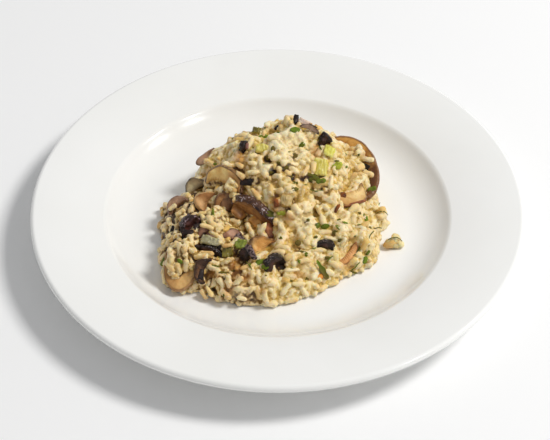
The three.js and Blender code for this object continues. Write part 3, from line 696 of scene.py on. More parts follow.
class Surface:
    """Height of the heap on a grid, falling away outside its outline, with clumps, and its slope."""

    def __init__(self):
        low, high = box_of("risotto")
        self.pitch = HEAP["pitch"]
        self.start = low[:2] - HEAP["margin"] * self.pitch
        counts = np.ceil((high[:2] - self.start) / self.pitch).astype(int) + HEAP["margin"] + 1
        self.floor = PLATE["floor_height"]
        tree = tree_of_nodes("risotto", *SLICES, *STALKS)
        heights = np.full(counts, np.nan)
        for i in range(counts[0]):
            for j in range(counts[1]):
                x, y = self.start + self.pitch * np.array((i, j))
                hit = tree.ray_cast(Vector((x, y, HEAP["probe"])), Vector((0, 0, -1)))[0]
                if hit is not None:
                    heights[i, j] = hit.z
        self.heights = self.smoothed(self.spread_outwards(heights))
        self.find_slopes()
        rise = np.nan_to_num(heights, nan=self.floor) - self.floor
        self.heights += self.clumps() * np.clip(rise / HEAP["full_rise"], HEAP["least_rise"], 1)
        self.add_mounds()
        self.heights = np.minimum(self.heights, high[2] - HEAP["peak_room"])
        self.find_slopes()

    def spread_outwards(self, heights):
        """Outside the outline the surface drops away steeply with distance."""
        inside = np.argwhere(~np.isnan(heights))
        filled = heights.copy()
        for cell in np.argwhere(np.isnan(heights)):
            distance = np.sqrt(((inside - cell) ** 2).sum(axis=1).min()) * self.pitch
            filled[tuple(cell)] = self.floor + HEAP["brink"] - HEAP["fall"] * distance
        return filled

    def smoothed(self, grid):
        for _ in range(HEAP["smoothings"]):
            padded = np.pad(grid, 1, mode="edge")
            grid = sum(padded[i:i + grid.shape[0], j:j + grid.shape[1]] for i in range(3) for j in range(3)) / 9
        return grid

    def find_slopes(self):
        self.slope_x, self.slope_y = np.gradient(self.heights, self.pitch)

    def cells(self):
        counts = self.heights.shape
        x = self.start[0] + self.pitch * np.arange(counts[0])
        y = self.start[1] + self.pitch * np.arange(counts[1])
        return np.meshgrid(x, y, indexing="ij")

    def clumps(self):
        """Rounded lumps of rice side by side, with creases where they meet."""
        x, y = self.cells()
        places = np.stack([x, y, self.heights], axis=-1)
        inside = places[self.heights > self.floor + HEAP["clump_foot"]].reshape(-1, 3)
        chosen = []
        for place in inside[rng.permutation(len(inside))]:
            if all(((place - other) ** 2).sum() > HEAP["clump"] ** 2 for other in chosen):
                chosen.append(place)
        rise = np.full(self.heights.shape, -1e9)
        for middle in chosen:
            middle = middle + rng.normal(size=3) * HEAP["clump_shift"]
            gap = ((places - middle) ** 2).sum(axis=-1) / HEAP["clump"] ** 2
            size = rng.uniform(*HEAP["clump_sizes"])
            rise = np.maximum(rise, HEAP["clump_rise"] * (size - HEAP["clump_round"] * gap))
        slope = np.sqrt(1 + self.slope_x ** 2 + self.slope_y ** 2).clip(1, HEAP["steepest"])
        return (rise.clip(-HEAP["clump_crease"] * HEAP["clump_rise"], HEAP["clump_top"]) - HEAP["sunk"]) * slope

    def add_mounds(self):
        """Raises the surface where rice is heaped over a slice, and lowers it in gaps and bare places."""
        x, y = self.cells()
        for px, py, radius, height in MOUNDS:
            middle = seen_at(packed_tree, px, py)[0]
            gap = ((x - middle.x) ** 2 + (y - middle.y) ** 2) / radius ** 2
            self.heights += height * np.exp(-HEAP["mound_edge"] * gap)
        bare = [(*row, HEAP["bare_sunk"], 0) for row in BARE]
        for px, py, half_wide, half_high, depth, _ in (*GAPS, *bare):
            middle = seen_at(packed_tree, px, py)[0]
            size = pixel_size(middle)
            gap = ((x - middle.x) / half_wide) ** 2 + ((y - middle.y) / half_high) ** 2
            self.heights -= depth * np.exp(-gap / size ** 2)

    def sample(self, grid, x, y):
        """A grid's value between its cells."""
        u = np.clip((x - self.start[0]) / self.pitch, 0, grid.shape[0] - 1.001)
        v = np.clip((y - self.start[1]) / self.pitch, 0, grid.shape[1] - 1.001)
        i, j = u.astype(int), v.astype(int)
        a, b = u - i, v - j
        low = grid[i, j] * (1 - b) + grid[i, j + 1] * b
        high = grid[i + 1, j] * (1 - b) + grid[i + 1, j + 1] * b
        return low * (1 - a) + high * a

    def height(self, x, y):
        return self.sample(self.heights, np.asarray(x, float), np.asarray(y, float))

    def normal(self, x, y):
        x, y = np.asarray(x, float), np.asarray(y, float)
        slopes = [-self.sample(grid, x, y) for grid in (self.slope_x, self.slope_y)]
        normal = np.stack([*slopes, np.ones_like(x)], axis=-1)
        return normal / np.linalg.norm(normal, axis=-1, keepdims=True)

    def depth(self, points):
        """How far points are below the surface, along its normal."""
        x, y = points[:, 0], points[:, 1]
        return (self.height(x, y) - points[:, 2]) * self.normal(x, y)[:, 2]


surface = Surface()


# ---------- Slabs: where each piece lies ----------

def axes_of(face, crown):
    """Local axes as columns: across, crown, face."""
    z = np.array(face, float) / np.linalg.norm(face)
    y = np.array(crown, float)
    y -= z * (y @ z)
    y /= np.linalg.norm(y)
    return np.stack([np.cross(y, z), y, z], axis=1)


class Slab:
    """The box that a node fills along its own axes: turn holds the axes, half the half sizes."""

    def __init__(self, name, face, crown):
        self.turn = axes_of(face, crown)
        local = corners_of(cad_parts[name].data) @ self.turn
        low, high = local.min(axis=0), local.max(axis=0)
        self.half = (high - low) / 2
        self.middle = self.turn @ ((low + high) / 2)

    def place(self, bm):
        """Moves a bmesh modelled in millimetres round the origin to where the node is."""
        rows = Matrix([list(row) for row in self.turn]).to_4x4()
        matrix = Matrix.Translation(Vector(self.middle) * MM) @ rows @ Matrix.Scale(MM, 4)
        bmesh.ops.transform(bm, matrix=matrix, verts=bm.verts)


slabs = {name: Slab(name, row[0], row[1]) for name, row in {**SLICES, **LEAF}.items()}
slabs.update({name: Slab(name, row[1], row[0]) for name, row in STALKS.items()})


# ---------- Rice ----------

def tree_of_points(points):
    tree = kdtree.KDTree(len(points))
    for index, point in enumerate(points):
        tree.insert(point, index)
    tree.balance()
    return tree


def pairs_within(points, owner, reach):
    """Pairs of points of different owners that lie within reach of each other."""
    tree = tree_of_points(points)
    first, second = [], []
    for index, point in enumerate(points):
        for _, other, _ in tree.find_range(point, reach):
            if other > index and owner[other] != owner[index]:
                first.append(index)
                second.append(other)
    return np.array(first), np.array(second)


class Grains:
    """Grains as short rows of three balls, pushed apart until they lie side by side in the heap's skin."""

    def __init__(self):
        loose = self.scatter()
        count = len(loose)
        axis = rng.normal(size=(count, 3)) * (1, 1, PILE["upright"])
        most = GRAIN["most_spread"]
        size = 1 + GRAIN["spread"] * rng.normal(size=(count, 3)).clip(-most, most)
        half = size * (GRAIN["half_length"], GRAIN["half_width"], GRAIN["half_height"])
        bold = self.bold()
        self.fixed = count
        self.middle = np.concatenate([loose, [row[0] for row in bold]])
        self.axis = np.concatenate([axis, [row[1] for row in bold]])
        self.axis /= np.linalg.norm(self.axis, axis=1, keepdims=True)
        self.half = np.concatenate([half, [row[2] for row in bold]])
        self.radius = np.repeat(self.half[:, 1:].mean(axis=1), 3) * PILE["ball"]
        self.owner = np.repeat(np.arange(len(self.middle)), 3)
        out = PILE["standing_out"] * np.abs(rng.normal(size=len(self.middle)))
        self.out = np.repeat(out, 3).clip(0, PILE["farthest_out"])
        self.settle()
        self.clear()

    def clear(self):
        """Leaves out the grains that would lie over a bare piece or fill a gap."""
        hidden = np.zeros(len(self.middle), bool)
        for row in (*BARE, *(row for row in GAPS if row[4] > PILE["deep_gap"])):
            gap, behind = oval_distance(self.middle, *row[:4])
            hidden |= (gap < 1) & (behind < PILE["clear_depth"])
        hidden[self.fixed:] = False
        self.fixed = int((~hidden[:self.fixed]).sum())
        self.middle, self.axis, self.half = (rows[~hidden] for rows in (self.middle, self.axis, self.half))

    def scatter(self):
        """Places at random in the layer under the surface, as many as fill it."""
        low, high = box_of("risotto")
        high = high + (0, 0, PILE["headroom"])
        grain = 4 / 3 * math.pi * GRAIN["half_length"] * GRAIN["half_width"] * GRAIN["half_height"]
        points = rng.uniform(low, high, size=(int(np.prod(high - low) * PILE["packing"] / grain), 3))
        depth = surface.depth(points)
        return points[(depth > PILE["skin"]) & (depth < PILE["shell"])]

    def bold(self):
        """Grains that the camera sees at given places: middle, axis and half sizes of each."""
        right, up, back, _ = view_axes()
        rows = []
        for x1, y1, x2, y2, width in BOLD_GRAINS:
            place, normal = seen_at(packed_tree, (x1 + x2) / 2, (y1 + y2) / 2)
            mean = (normal + back).normalized()
            along = right * (x2 - x1) - up * (y2 - y1)
            flat = (along - mean * along.dot(mean)).normalized()
            scale = pixel_size(place)
            seen = max(BOLD["least_seen"], (flat - back * flat.dot(back)).length)
            half_length = along.length * scale / 2 / seen + width * scale * BOLD["past_ends"]
            half = (half_length, width * scale * BOLD["half_width"], width * scale * BOLD["half_height"])
            rows.append((np.array(place + normal * half[2] * BOLD["raised"]), np.array(flat), np.array(half)))
        return rows

    def balls(self):
        """The middles of each grain's three balls."""
        reach = (self.half[:, 0] - self.half[:, 1])[:, None] * self.axis
        return np.stack([self.middle - reach, self.middle, self.middle + reach], axis=1).reshape(-1, 3)

    def settle(self):
        balls = self.balls()
        for step in range(PILE["steps"]):
            if step % PILE["relist"] == 0:
                first, second = pairs_within(balls, self.owner, PILE["reach"])
            self.push_apart(balls, first, second)
            self.keep_in_skin(balls)
            self.keep_off_pieces(balls)
            rows = balls[:self.fixed * 3].reshape(-1, 3, 3)
            self.middle[:self.fixed] = rows.mean(axis=1)
            axis = rows[:, 2] - rows[:, 0]
            self.axis[:self.fixed] = axis / np.linalg.norm(axis, axis=1, keepdims=True)
            balls = self.balls()

    def push_apart(self, balls, first, second):
        between = balls[second] - balls[first]
        distance = np.linalg.norm(between, axis=1) + 1e-9
        overlap = self.radius[first] + self.radius[second] - distance
        close = overlap > 0
        push = between[close] / distance[close, None] * overlap[close, None] * PILE["push"]
        for k in range(3):
            balls[:, k] -= np.bincount(first[close], push[:, k], len(balls))
            balls[:, k] += np.bincount(second[close], push[:, k], len(balls))

    def keep_in_skin(self, balls):
        normal = surface.normal(balls[:, 0], balls[:, 1])
        depth = surface.depth(balls) - self.radius + self.out
        outside = np.minimum(depth, 0)[:, None]
        inside = np.maximum(depth - PILE["shell"], 0)[:, None]
        balls += normal * (PILE["pull"] * outside + PILE["pull"] * inside)
        balls[:, 2] = np.maximum(balls[:, 2], surface.floor + self.radius + PILE["over_plate"])

    def keep_off_pieces(self, balls):
        """Pushes balls out of each slice, which is a half oval in its slab, by its face or round its crown."""
        room = ROUND_PIECES
        for slab in slabs.values():
            local = (balls - slab.middle) @ slab.turn
            size = np.array((slab.half[0], 2 * slab.half[1], slab.half[2]))
            oval = np.stack([local[:, 0], local[:, 1] + slab.half[1]], axis=1)
            oval /= size[:2] + self.radius[:, None] * room["edge"]
            reach = np.linalg.norm(oval, axis=1) + 1e-6
            over = size[2] * room["thickness"] + self.radius * room["face"] - np.abs(local[:, 2])
            inside = (reach < 1) & (local[:, 1] > -slab.half[1] - room["below"]) & (over > 0)
            if not inside.any():
                continue
            local, oval, reach, over = local[inside], oval[inside], reach[inside, None], over[inside, None]
            push = np.zeros_like(local)
            push[:, 2:] = over * np.sign(local[:, 2:])
            aside = (1 - reach) * size[:2].min()
            nearer = (aside < over)[:, 0]
            push[nearer, 2] = 0
            push[nearer, :2] = (oval / reach * aside)[nearer]
            balls[inside] += push @ slab.turn.T * room["push"]


def grain_shape(taper, bend, dent, blunt):
    """Corners and faces of one cooked grain along x, half length, width and height 1, lumpy and a little torn."""
    bm = bmesh.new()
    bmesh.ops.create_uvsphere(bm, u_segments=8, v_segments=8, radius=1.0)
    bmesh.ops.rotate(bm, verts=bm.verts, cent=(0, 0, 0), matrix=Matrix.Rotation(math.pi / 2, 3, "Y"))
    shift = any_shift()
    (lump, close), (small_lump, closer), (ragged, end_close) = (
        GRAIN[key] for key in ("lump", "small_lump", "ragged_end"))
    for vertex in bm.verts:
        x, y, z = vertex.co
        full = ((1 - abs(x) ** blunt) / (1 - x * x)) ** 0.5 if abs(x) < 0.999 else 1.0
        lumps = 1 + lump * noise.noise(vertex.co * close + shift)
        lumps += small_lump * noise.noise(vertex.co * closer - shift)
        width = full * (1 + taper * x) * lumps
        hollow = dent * math.exp(-((x - GRAIN["dent_at"]) / GRAIN["dent_width"]) ** 2) * (1 if y > 0 else 0)
        end = 1 + ragged * noise.noise(vertex.co * end_close + 2 * shift)
        vertex.co = (x * end, y * width * (1 - hollow) + bend * (x * x - 0.4), z * width)
    return arrays_of(bm)


GRAIN_SHAPES = [grain_shape(*form) for form in GRAIN_FORMS]


def grain_tints(owners):
    """A shade from 0 to 1 for each grain by its number, spread evenly by the golden section."""
    return np.asarray(owners) * 0.618034 % 1


def grain_parts(grains, chosen, swell=None):
    """Corners and faces of the chosen grains, each rolled round its length its own way."""
    parts = []
    for index in chosen:
        half = grains.half[index] + (0 if swell is None else swell[index])
        corners, faces = GRAIN_SHAPES[index % len(GRAIN_SHAPES)]
        x = grains.axis[index]
        side = np.cross(x, (math.sin(index * 2.4), math.cos(index * 1.7), math.sin(index * 0.9 + 1)))
        side /= np.linalg.norm(side)
        turn = np.stack([x, side, np.cross(x, side)])
        parts.append((corners * half @ turn + grains.middle[index], faces))
    return parts


def darkness(points):
    """How dark the heap is painted, 0 to 1: over the left half, partly juice from the dark slices and partly
    painted shade, and in the gaps, painted shade; 0 in the right half and along the top.
    """
    left = (-points[:, 0] - SHADE["slant"] * points[:, 1] - SHADE["left"]) / SHADE["left_width"]
    back = (points[:, 1] - SHADE["back"]) / SHADE["back_width"]
    dark = SHADE["level"] * left.clip(0, 1) * (1 - back.clip(0, 1))
    start, fade = SHADE["gap_fade"]
    for *oval, _, level in GAPS:
        gap, _ = oval_distance(points, *oval)
        dark = np.maximum(dark, level * (start - fade * gap).clip(0, 1))
    return dark


def ovals_over(points, ovals):
    """How far points lie inside any of some ovals of the view: 0 outside, up to the oval's level or 1 inside."""
    inside = np.zeros(len(points))
    start, fade = SHADE["oval_fade"]
    for x, y, half_wide, half_high, *level in ovals:
        gap, _ = oval_distance(points, x, y, half_wide, half_high)
        inside = np.maximum(inside, (level or [1])[0] * (start - fade * gap).clip(0, 1))
    return inside


def add_shades(mesh, **shades):
    """Numbers for each corner of a mesh: how deep it lies, how dark the heap is painted there, partly as painted
    shade, and how stained and creamy it is.
    """
    corners = corners_of(mesh)
    shades["deep"] = ((surface.depth(corners) - SHADE["skin"]) / SHADE["depth"]).clip(0, 1)
    shades["dark"] = darkness(corners)
    shades["stain"] = ovals_over(corners, STAINS)
    shades["creamy"] = ovals_over(corners, CREAMY)
    for name, values in shades.items():
        add_number(mesh, name, values)


RICE = {
    # pale, deep, stained
    "rice_pale": ((250, 231, 188), (245, 218, 160), (212, 170, 90)),
    "rice_cream": ((248, 224, 170), (239, 205, 136), (196, 150, 69)),
    "rice_stained": ((246, 218, 150), (230, 190, 108), (176, 130, 50)),
    "rice_loose": ((246, 232, 176), (214, 172, 100), (190, 150, 90)),
}
KINDS = {"rice_pale": 0.45, "rice_cream": 0.4, "rice_stained": 0.15}
# painted shade: the colour that the darkened parts of the heap are multiplied by
DIMMED = (0.97, 0.9, 0.8)
# the pale cream that the creamy patches are painted towards, partly painted light
CREAM_WHITE = srgb(255, 244, 208)


def rice_skin(name):
    """Cooked rice: moist, chalky in its core and clearer at its skin, each grain its own tone. It browns deeper in
    the heap with sauce and painted shade, darkens over the left half and in the gaps with juice and painted shade,
    and is paler in the creamy patches, partly as painted light.
    """
    pale, deep, stain = paints(RICE[name])
    graph = Graph(name)
    colour = graph.mix(graph.attribute("tint"), deep, pale)
    clear = graph.noise(0.0035, 3.0, 0.4)
    colour = graph.mix(clear.between(0.5, 0.68) * 0.6, colour, deep)
    colour = graph.mix(graph.noise(0.012, 3.0).between(0.5, 0.7) * 0.6, colour, stain)
    low = graph.attribute("deep")
    # browner deeper in the heap: sauce and painted shade in the hollows
    colour = graph.mix((low * 1.6 + 0.5 * graph.noise(0.0022, 3.0)).between(0.5, 1.1), colour, stain)
    # painted shade, with juice: dark brown deep down where the heap is dark, then the dark parts dimmed
    colour = graph.mix(low * graph.attribute("dark"), colour, srgb(92, 56, 12))
    colour = graph.mix(graph.attribute("dark"), colour, DIMMED, "MULTIPLY")
    # paler in the creamy patches: creamier sauce and partly painted light
    colour = graph.mix(graph.attribute("creamy") * 0.35, colour, CREAM_WHITE)
    colour = graph.mix(graph.attribute("stain") * 0.75, colour, srgb(196, 134, 56))
    graph.set(
        Base_Color=colour, Roughness=0.34 + 0.25 * clear, Coat_Weight=0.4, Coat_Roughness=0.2,
        Normal=graph.bump(graph.noise(0.0011, 4.0, 0.5), 0.0003), **soft(0.55, "rice"),
    )
    return graph.material


def make_rice(grains):
    count = len(grains.middle)
    kind = rng.choice(len(KINDS), size=count, p=tuple(KINDS.values()))
    kind[grains.fixed:] = rng.choice(2, size=count - grains.fixed)  # bold grains are never stained
    for number, name in enumerate(KINDS):
        chosen = np.flatnonzero(kind == number)
        mesh = joined_mesh(name, grain_parts(grains, chosen), {"tint": grain_tints(chosen)})
        add_shades(mesh)
        finish_piece(object_of(mesh, name, rice_skin(name)), "rice", "risotto")


# ---------- Cream: the sauce that binds the grains, over a solid core ----------

def core_part():
    """The heap itself, some millimetres under the grains, as corners and faces."""
    bm = bmesh.new()
    x, y = surface.cells()
    size = (np.array((x[-1, 0], y[0, -1])) - surface.start) / 2
    middle = surface.start + size
    counts = np.array(x.shape) - 1
    bmesh.ops.create_grid(bm, x_segments=int(counts[0]), y_segments=int(counts[1]), size=1.0)
    places = np.array([vertex.co.xy for vertex in bm.verts]) * size + middle
    heights = surface.height(*places.T)
    dark = darkness(np.column_stack([places, heights]))
    sunk = CREAM["core_pale"] * (1 - dark) + CREAM["core_dark"] * dark
    smooth = ovals_over(np.column_stack([places, heights]), CREAMY)
    sunk = sunk * (1 - smooth) + CREAM["core_creamy"] * smooth
    normals = surface.normal(*places.T)[:, 2].clip(CREAM["steepest"], 1)
    for vertex, place, height, depth, normal in zip(bm.verts, places, heights, sunk, normals):
        depth += CREAM["core_wave"] * noise.noise(Vector((*place, height)) / CREAM["patch"])
        vertex.co = (*place, height - max(CREAM["core_creamy"], depth) / normal)
    low = surface.floor + CREAM["core_edge"]
    bmesh.ops.delete(bm, geom=[vertex for vertex in bm.verts if vertex.co.z < low], context="VERTS")
    grown = bmesh.ops.extrude_face_region(bm, geom=bm.faces[:])
    for vertex in grown["geom"]:
        if isinstance(vertex, bmesh.types.BMVert):
            vertex.co.z = low - CREAM["core_bottom"]
    return arrays_of(bm)


def largest_part(bm):
    """Deletes every loose part of a bmesh but the one with the most corners."""
    unseen = set(bm.verts)
    best = set()
    while unseen:
        seed = unseen.pop()
        part, front = {seed}, [seed]
        while front:
            for edge in front.pop().link_edges:
                for vertex in edge.verts:
                    if vertex in unseen:
                        unseen.remove(vertex)
                        part.add(vertex)
                        front.append(vertex)
        best = max(best, part, key=len)
    bmesh.ops.delete(bm, geom=[vertex for vertex in bm.verts if vertex not in best], context="VERTS")


def remeshed(mesh, voxel):
    """The mesh as one skin of even voxels."""
    holder = linked("holder", mesh)
    modifier = holder.modifiers.new("skin", "REMESH")
    modifier.mode = "VOXEL"
    modifier.voxel_size = voxel * MM
    evaluated = holder.evaluated_get(bpy.context.evaluated_depsgraph_get())
    bm = bmesh.new()
    bm.from_mesh(evaluated.to_mesh())
    evaluated.to_mesh_clear()
    bpy.data.objects.remove(holder)
    return bm


def flatten_underside(bm):
    """Makes one face of the many that lie on the plate."""
    low = (surface.floor + CREAM["under"]) * MM
    slope = CREAM["under_slope"]
    under = [face for face in bm.faces if face.normal.z < -slope and face.calc_center_median().z < low]
    bmesh.ops.delete(bm, geom=under, context="FACES")
    bmesh.ops.holes_fill(bm, edges=[edge for edge in bm.edges if edge.is_boundary], sides=0)


def averaged(values, pairs, rounds):
    """Each row of values averaged with its neighbours', over and over."""
    count = len(values)
    both = np.concatenate([pairs, pairs[:, ::-1]])
    shares = np.bincount(both[:, 0], minlength=count)[:, None] + 1
    for _ in range(rounds):
        sums = np.stack([np.bincount(both[:, 0], column[both[:, 1]], count) for column in values.T], axis=1)
        values = (values + sums) / shares
    return values


SAUCE = {
    # ridge is a painted highlight; the crease colours and the juices are the sauce's browns with painted shade in
    # them
    "pale": (248, 225, 171), "deep": (236, 200, 124), "greenish": (226, 208, 132), "rosy": (242, 202, 150),
    "ridge": (250, 232, 192), "crease": (222, 188, 102), "deep_crease": (176, 140, 58), "juice_and_shade": (128, 86, 26),
    "dark_juice_and_shade": (56, 32, 6), "stain": (182, 118, 44),
}


def cream_finish():
    """Sauce over the grains: a painted highlight on what stands up, yellow-brown in the creases with sauce and
    painted shade, dark with juice and painted shade over the left half and in the gaps, paler in the creamy patches
    partly as painted light.
    """
    sauce = dict(zip(SAUCE, paints(SAUCE.values())))
    graph = Graph("cream_sauce")
    deep = graph.attribute("deep")
    dark = graph.attribute("dark")
    crease = graph.attribute("crease")
    cloud = graph.noise(0.008, 4.0)
    fine = graph.noise(0.0022, 4.0, 0.5)
    warm = graph.noise(0.03, 2.0).between(0.4, 0.6)
    tint = graph.attribute("tint") * 0.6 + cloud.between(0.35, 0.65) * 0.2 + warm * 0.2
    pale = graph.mix(tint, sauce["pale"], sauce["deep"])
    pale = graph.mix(graph.noise(0.0057, 3.0).between(0.46, 0.6) * 0.5, pale, sauce["greenish"])
    pale = graph.mix(graph.noise(0.0071, 3.0).between(0.48, 0.62) * 0.5, pale, sauce["rosy"])
    brown = graph.mix(fine.between(0.4, 0.6), sauce["crease"], sauce["deep_crease"])
    # painted highlight on what stands up
    colour = graph.mix(crease.between(0.5, 0.2) * 0.7, pale, sauce["ridge"])
    # brown in the creases and deeper down: the sauce's own brown and painted shade
    colour = graph.mix((crease + 0.4 * fine + 0.4 * deep + 0.25 * dark).between(0.75, 1.2), colour, brown)
    # painted shade with juice over the left half and in the gaps, darkest in their creases and depths
    colour = graph.mix(dark, colour, DIMMED, "MULTIPLY")
    colour = graph.mix((dark * (deep + 0.9 * crease)).between(0.26, 0.75) * 0.85, colour, sauce["juice_and_shade"])
    colour = graph.mix((dark * (0.3 + deep + 0.5 * crease)).between(0.54, 0.88), colour, sauce["dark_juice_and_shade"])
    # paler in the creamy patches: creamier sauce and partly painted light
    colour = graph.mix(graph.attribute("creamy") * (0.2 + 0.3 * cloud), colour, CREAM_WHITE)
    colour = graph.mix(graph.attribute("stain") * (0.5 + 0.4 * fine), colour, sauce["stain"])
    graph.set(
        Base_Color=colour, Roughness=0.36 + 0.2 * fine, Coat_Weight=0.4 * crease.between(0.9, 0.4),
        Coat_Roughness=0.2, Normal=graph.bump(graph.noise(0.0014, 4.0, 0.5), 0.0004), **soft(0.55, "rice"),
    )
    return graph.material


def nearest_tints(points, grains):
    """The shade of the grain that each point lies nearest to."""
    tree = tree_of_points(grains.balls())
    return grain_tints([tree.find(point)[1] // 3 for point in points])


def make_cream(grains):
    swell = np.interp(darkness(grains.middle), (0, 1), (CREAM["swell_pale"], CREAM["swell_dark"]))
    parts = [core_part(), *grain_parts(grains, range(len(swell)), swell)]
    bm = remeshed(joined_mesh("cream_sauce", parts, {}), CREAM["voxel"])
    largest_part(bm)
    flatten_underside(bm)
    for _ in range(CREAM["smoothings"]):
        bmesh.ops.smooth_vert(
            bm, verts=bm.verts, factor=CREAM["smoothing"], use_axis_x=True, use_axis_y=True, use_axis_z=True,
        )
    bm.normal_update()
    corners = np.array([vertex.co for vertex in bm.verts]) / MM
    normals = np.array([vertex.normal for vertex in bm.verts])
    dark = darkness(corners)
    shrink = CREAM["shrink_pale"] * (1 - dark) + CREAM["shrink_dark"] * dark
    for size, depth in (("patch", "unevenness"), ("crag", "crag_depth"), ("crumb", "crumb_depth")):
        shrink += CREAM[depth] * np.array([noise.noise(Vector(corner / CREAM[size])) for corner in corners])
    corners -= normals * shrink[:, None]
    corners[:, 2] = np.maximum(corners[:, 2], surface.floor + CREAM["over_plate"])
    for vertex, corner in zip(bm.verts, corners * MM):
        vertex.co = corner
    piece = object_from(bm, "cream_sauce", cream_finish())
    pairs = np.array([edge.vertices for edge in piece.data.edges])
    hollow = averaged(corners, pairs, CREAM["crease_rounds"]) - corners
    crease = ((hollow * normals).sum(axis=1) / CREAM["crease"] + 0.5).clip(0, 1)
    tint = averaged(nearest_tints(corners, grains)[:, None], pairs, 1)[:, 0]
    add_shades(piece.data, crease=crease, tint=tint)
    finish_piece(piece, "rice", "risotto")


# ---------- Mushroom slices ----------

FLESH = {
    # pale, middle and deep flesh, skin, painted glints on the skin, and the flesh at its right-hand end
    "amber": ((208, 156, 78), (192, 138, 62), (150, 98, 42), (136, 98, 70), (180, 146, 122), (92, 54, 26)),
    "shell": ((224, 200, 178), (208, 180, 156), (150, 116, 92), (66, 44, 36), (150, 120, 104), (200, 170, 144)),
    "clay": ((206, 168, 136), (186, 146, 114), (122, 86, 62), (128, 90, 68), (190, 160, 140), (190, 150, 120)),
    # bark: a darker brown for a slice that lies in shadow, partly painted shade
    "bark": ((128, 88, 56), (92, 60, 38), (44, 27, 17), (66, 43, 30), (120, 96, 76), (70, 44, 27)),
    "gold": ((255, 218, 142), (240, 184, 100), (186, 124, 60), (76, 48, 32), (150, 120, 100), (226, 168, 90)),
    "honey": ((255, 222, 146), (242, 194, 110), (196, 148, 82), (84, 56, 38), (150, 122, 98), (196, 148, 94)),
    "straw": ((244, 212, 146), (230, 188, 116), (184, 132, 68), (120, 76, 46), (160, 118, 84), (206, 160, 96)),
    "umber": ((172, 122, 70), (142, 96, 54), (92, 54, 28), (40, 20, 23), (228, 214, 218), (120, 70, 42)),
    "tan": ((214, 168, 112), (190, 142, 86), (134, 88, 44), (212, 168, 108), (230, 198, 150), (160, 108, 58)),
    "ivory": ((222, 180, 116), (198, 152, 90), (142, 98, 54), (160, 116, 74), (184, 146, 104), (176, 130, 76)),
    "dusk": ((188, 142, 88), (158, 110, 64), (92, 58, 34), (118, 86, 60), (160, 132, 102), (116, 74, 44)),
    "grey": ((216, 200, 156), (190, 168, 124), (112, 86, 56), (6, 5, 5), (30, 25, 24), (176, 152, 110)),
    "rose": ((200, 156, 128), (170, 124, 98), (104, 68, 52), (96, 64, 50), (146, 114, 100), (124, 80, 60)),
    "maroon": ((104, 58, 48), (76, 40, 34), (36, 18, 15), (36, 18, 18), (176, 150, 156), (58, 30, 26)),
    "salmon": ((240, 182, 118), (224, 160, 96), (176, 116, 62), (140, 88, 50), (190, 140, 96), (226, 164, 98)),
    "black": ((82, 52, 42), (50, 30, 25), (22, 13, 11), (24, 16, 15), (150, 138, 134), (44, 26, 20)),
}


def thick_grid(across, along, through):
    """A closed slab of small faces from -1 to 1 each way, for a mapping to shape."""
    bm = bmesh.new()
    bmesh.ops.create_grid(bm, x_segments=across, y_segments=along, size=1.0)
    grown = bmesh.ops.extrude_face_region(bm, geom=bm.faces[:])
    lifted = [item for item in grown["geom"] if isinstance(item, bmesh.types.BMVert)]
    bmesh.ops.translate(bm, verts=lifted, vec=(0, 0, 2))
    walls = [edge for edge in bm.edges if abs(edge.verts[0].co.z - edge.verts[1].co.z) > 1]
    bmesh.ops.subdivide_edges(bm, edges=walls, cuts=through)
    bmesh.ops.translate(bm, verts=bm.verts, vec=(0, 0, -1))
    return bm


def slice_form(half, power, curl, rim, crumple):
    """A slice of a cap round the origin: along x its width, y up to its crown, z its thickness."""
    bm = thick_grid(*CAP["cells"])
    layers = [bm.verts.layers.float.new(name) for name in ("from_skin", "from_gills", "along")]
    shift = any_shift()
    for vertex in bm.verts:
        u, v, w = vertex.co.x, ((1 - vertex.co.y) / 2) ** CAP["crowding"], vertex.co.z
        turn = u * math.pi / 2
        x, y = math.sin(turn), max(0.0, math.cos(turn))
        crown = Vector((math.copysign(abs(x) ** (2 / power), x), 2 * y ** (2 / power) - 1, 0))
        gills = Vector((CAP["gill_width"] * crown.x, CAP["gill_height"] * y ** CAP["gill_bend"] - 1, 0))
        local = crown.lerp(gills, v)
        ridge = Vector((x, y, 0)) * (1 - w * w) * (1 - v) ** 8 * CAP["bulge"] * half[2] / half[1]
        across, along = (local.x + ridge.x) * half[0] * CAP["fill"], (local.y + ridge.y) * half[1] * CAP["fill"]
        full = 1 - CAP["skin_thinner"] * (1 - min(1, v * 4)) - CAP["gills_thinner"] * v
        full -= CAP["ends_thinner"] * abs(u) ** 4
        place = Vector((across, along, w * full * half[2]))
        wave = Vector()
        for close, high in (CAP["wave"], crumple):
            wave += noise.noise_vector(place * close + shift) * high
        place += Vector((CAP["sideways"] * wave.x, CAP["sideways"] * wave.y, wave.z))
        place.z += curl * (u * u - CAP["curl_from"]) + CAP["crown_curl"] * curl * (place.y / half[1]) ** 2
        vertex.co = place
        depth = (crown.y - gills.y) * half[1]
        for layer, value in zip(layers, (v * depth / rim, (1 - v) * depth, u)):
            vertex[layer] = value
    return bm


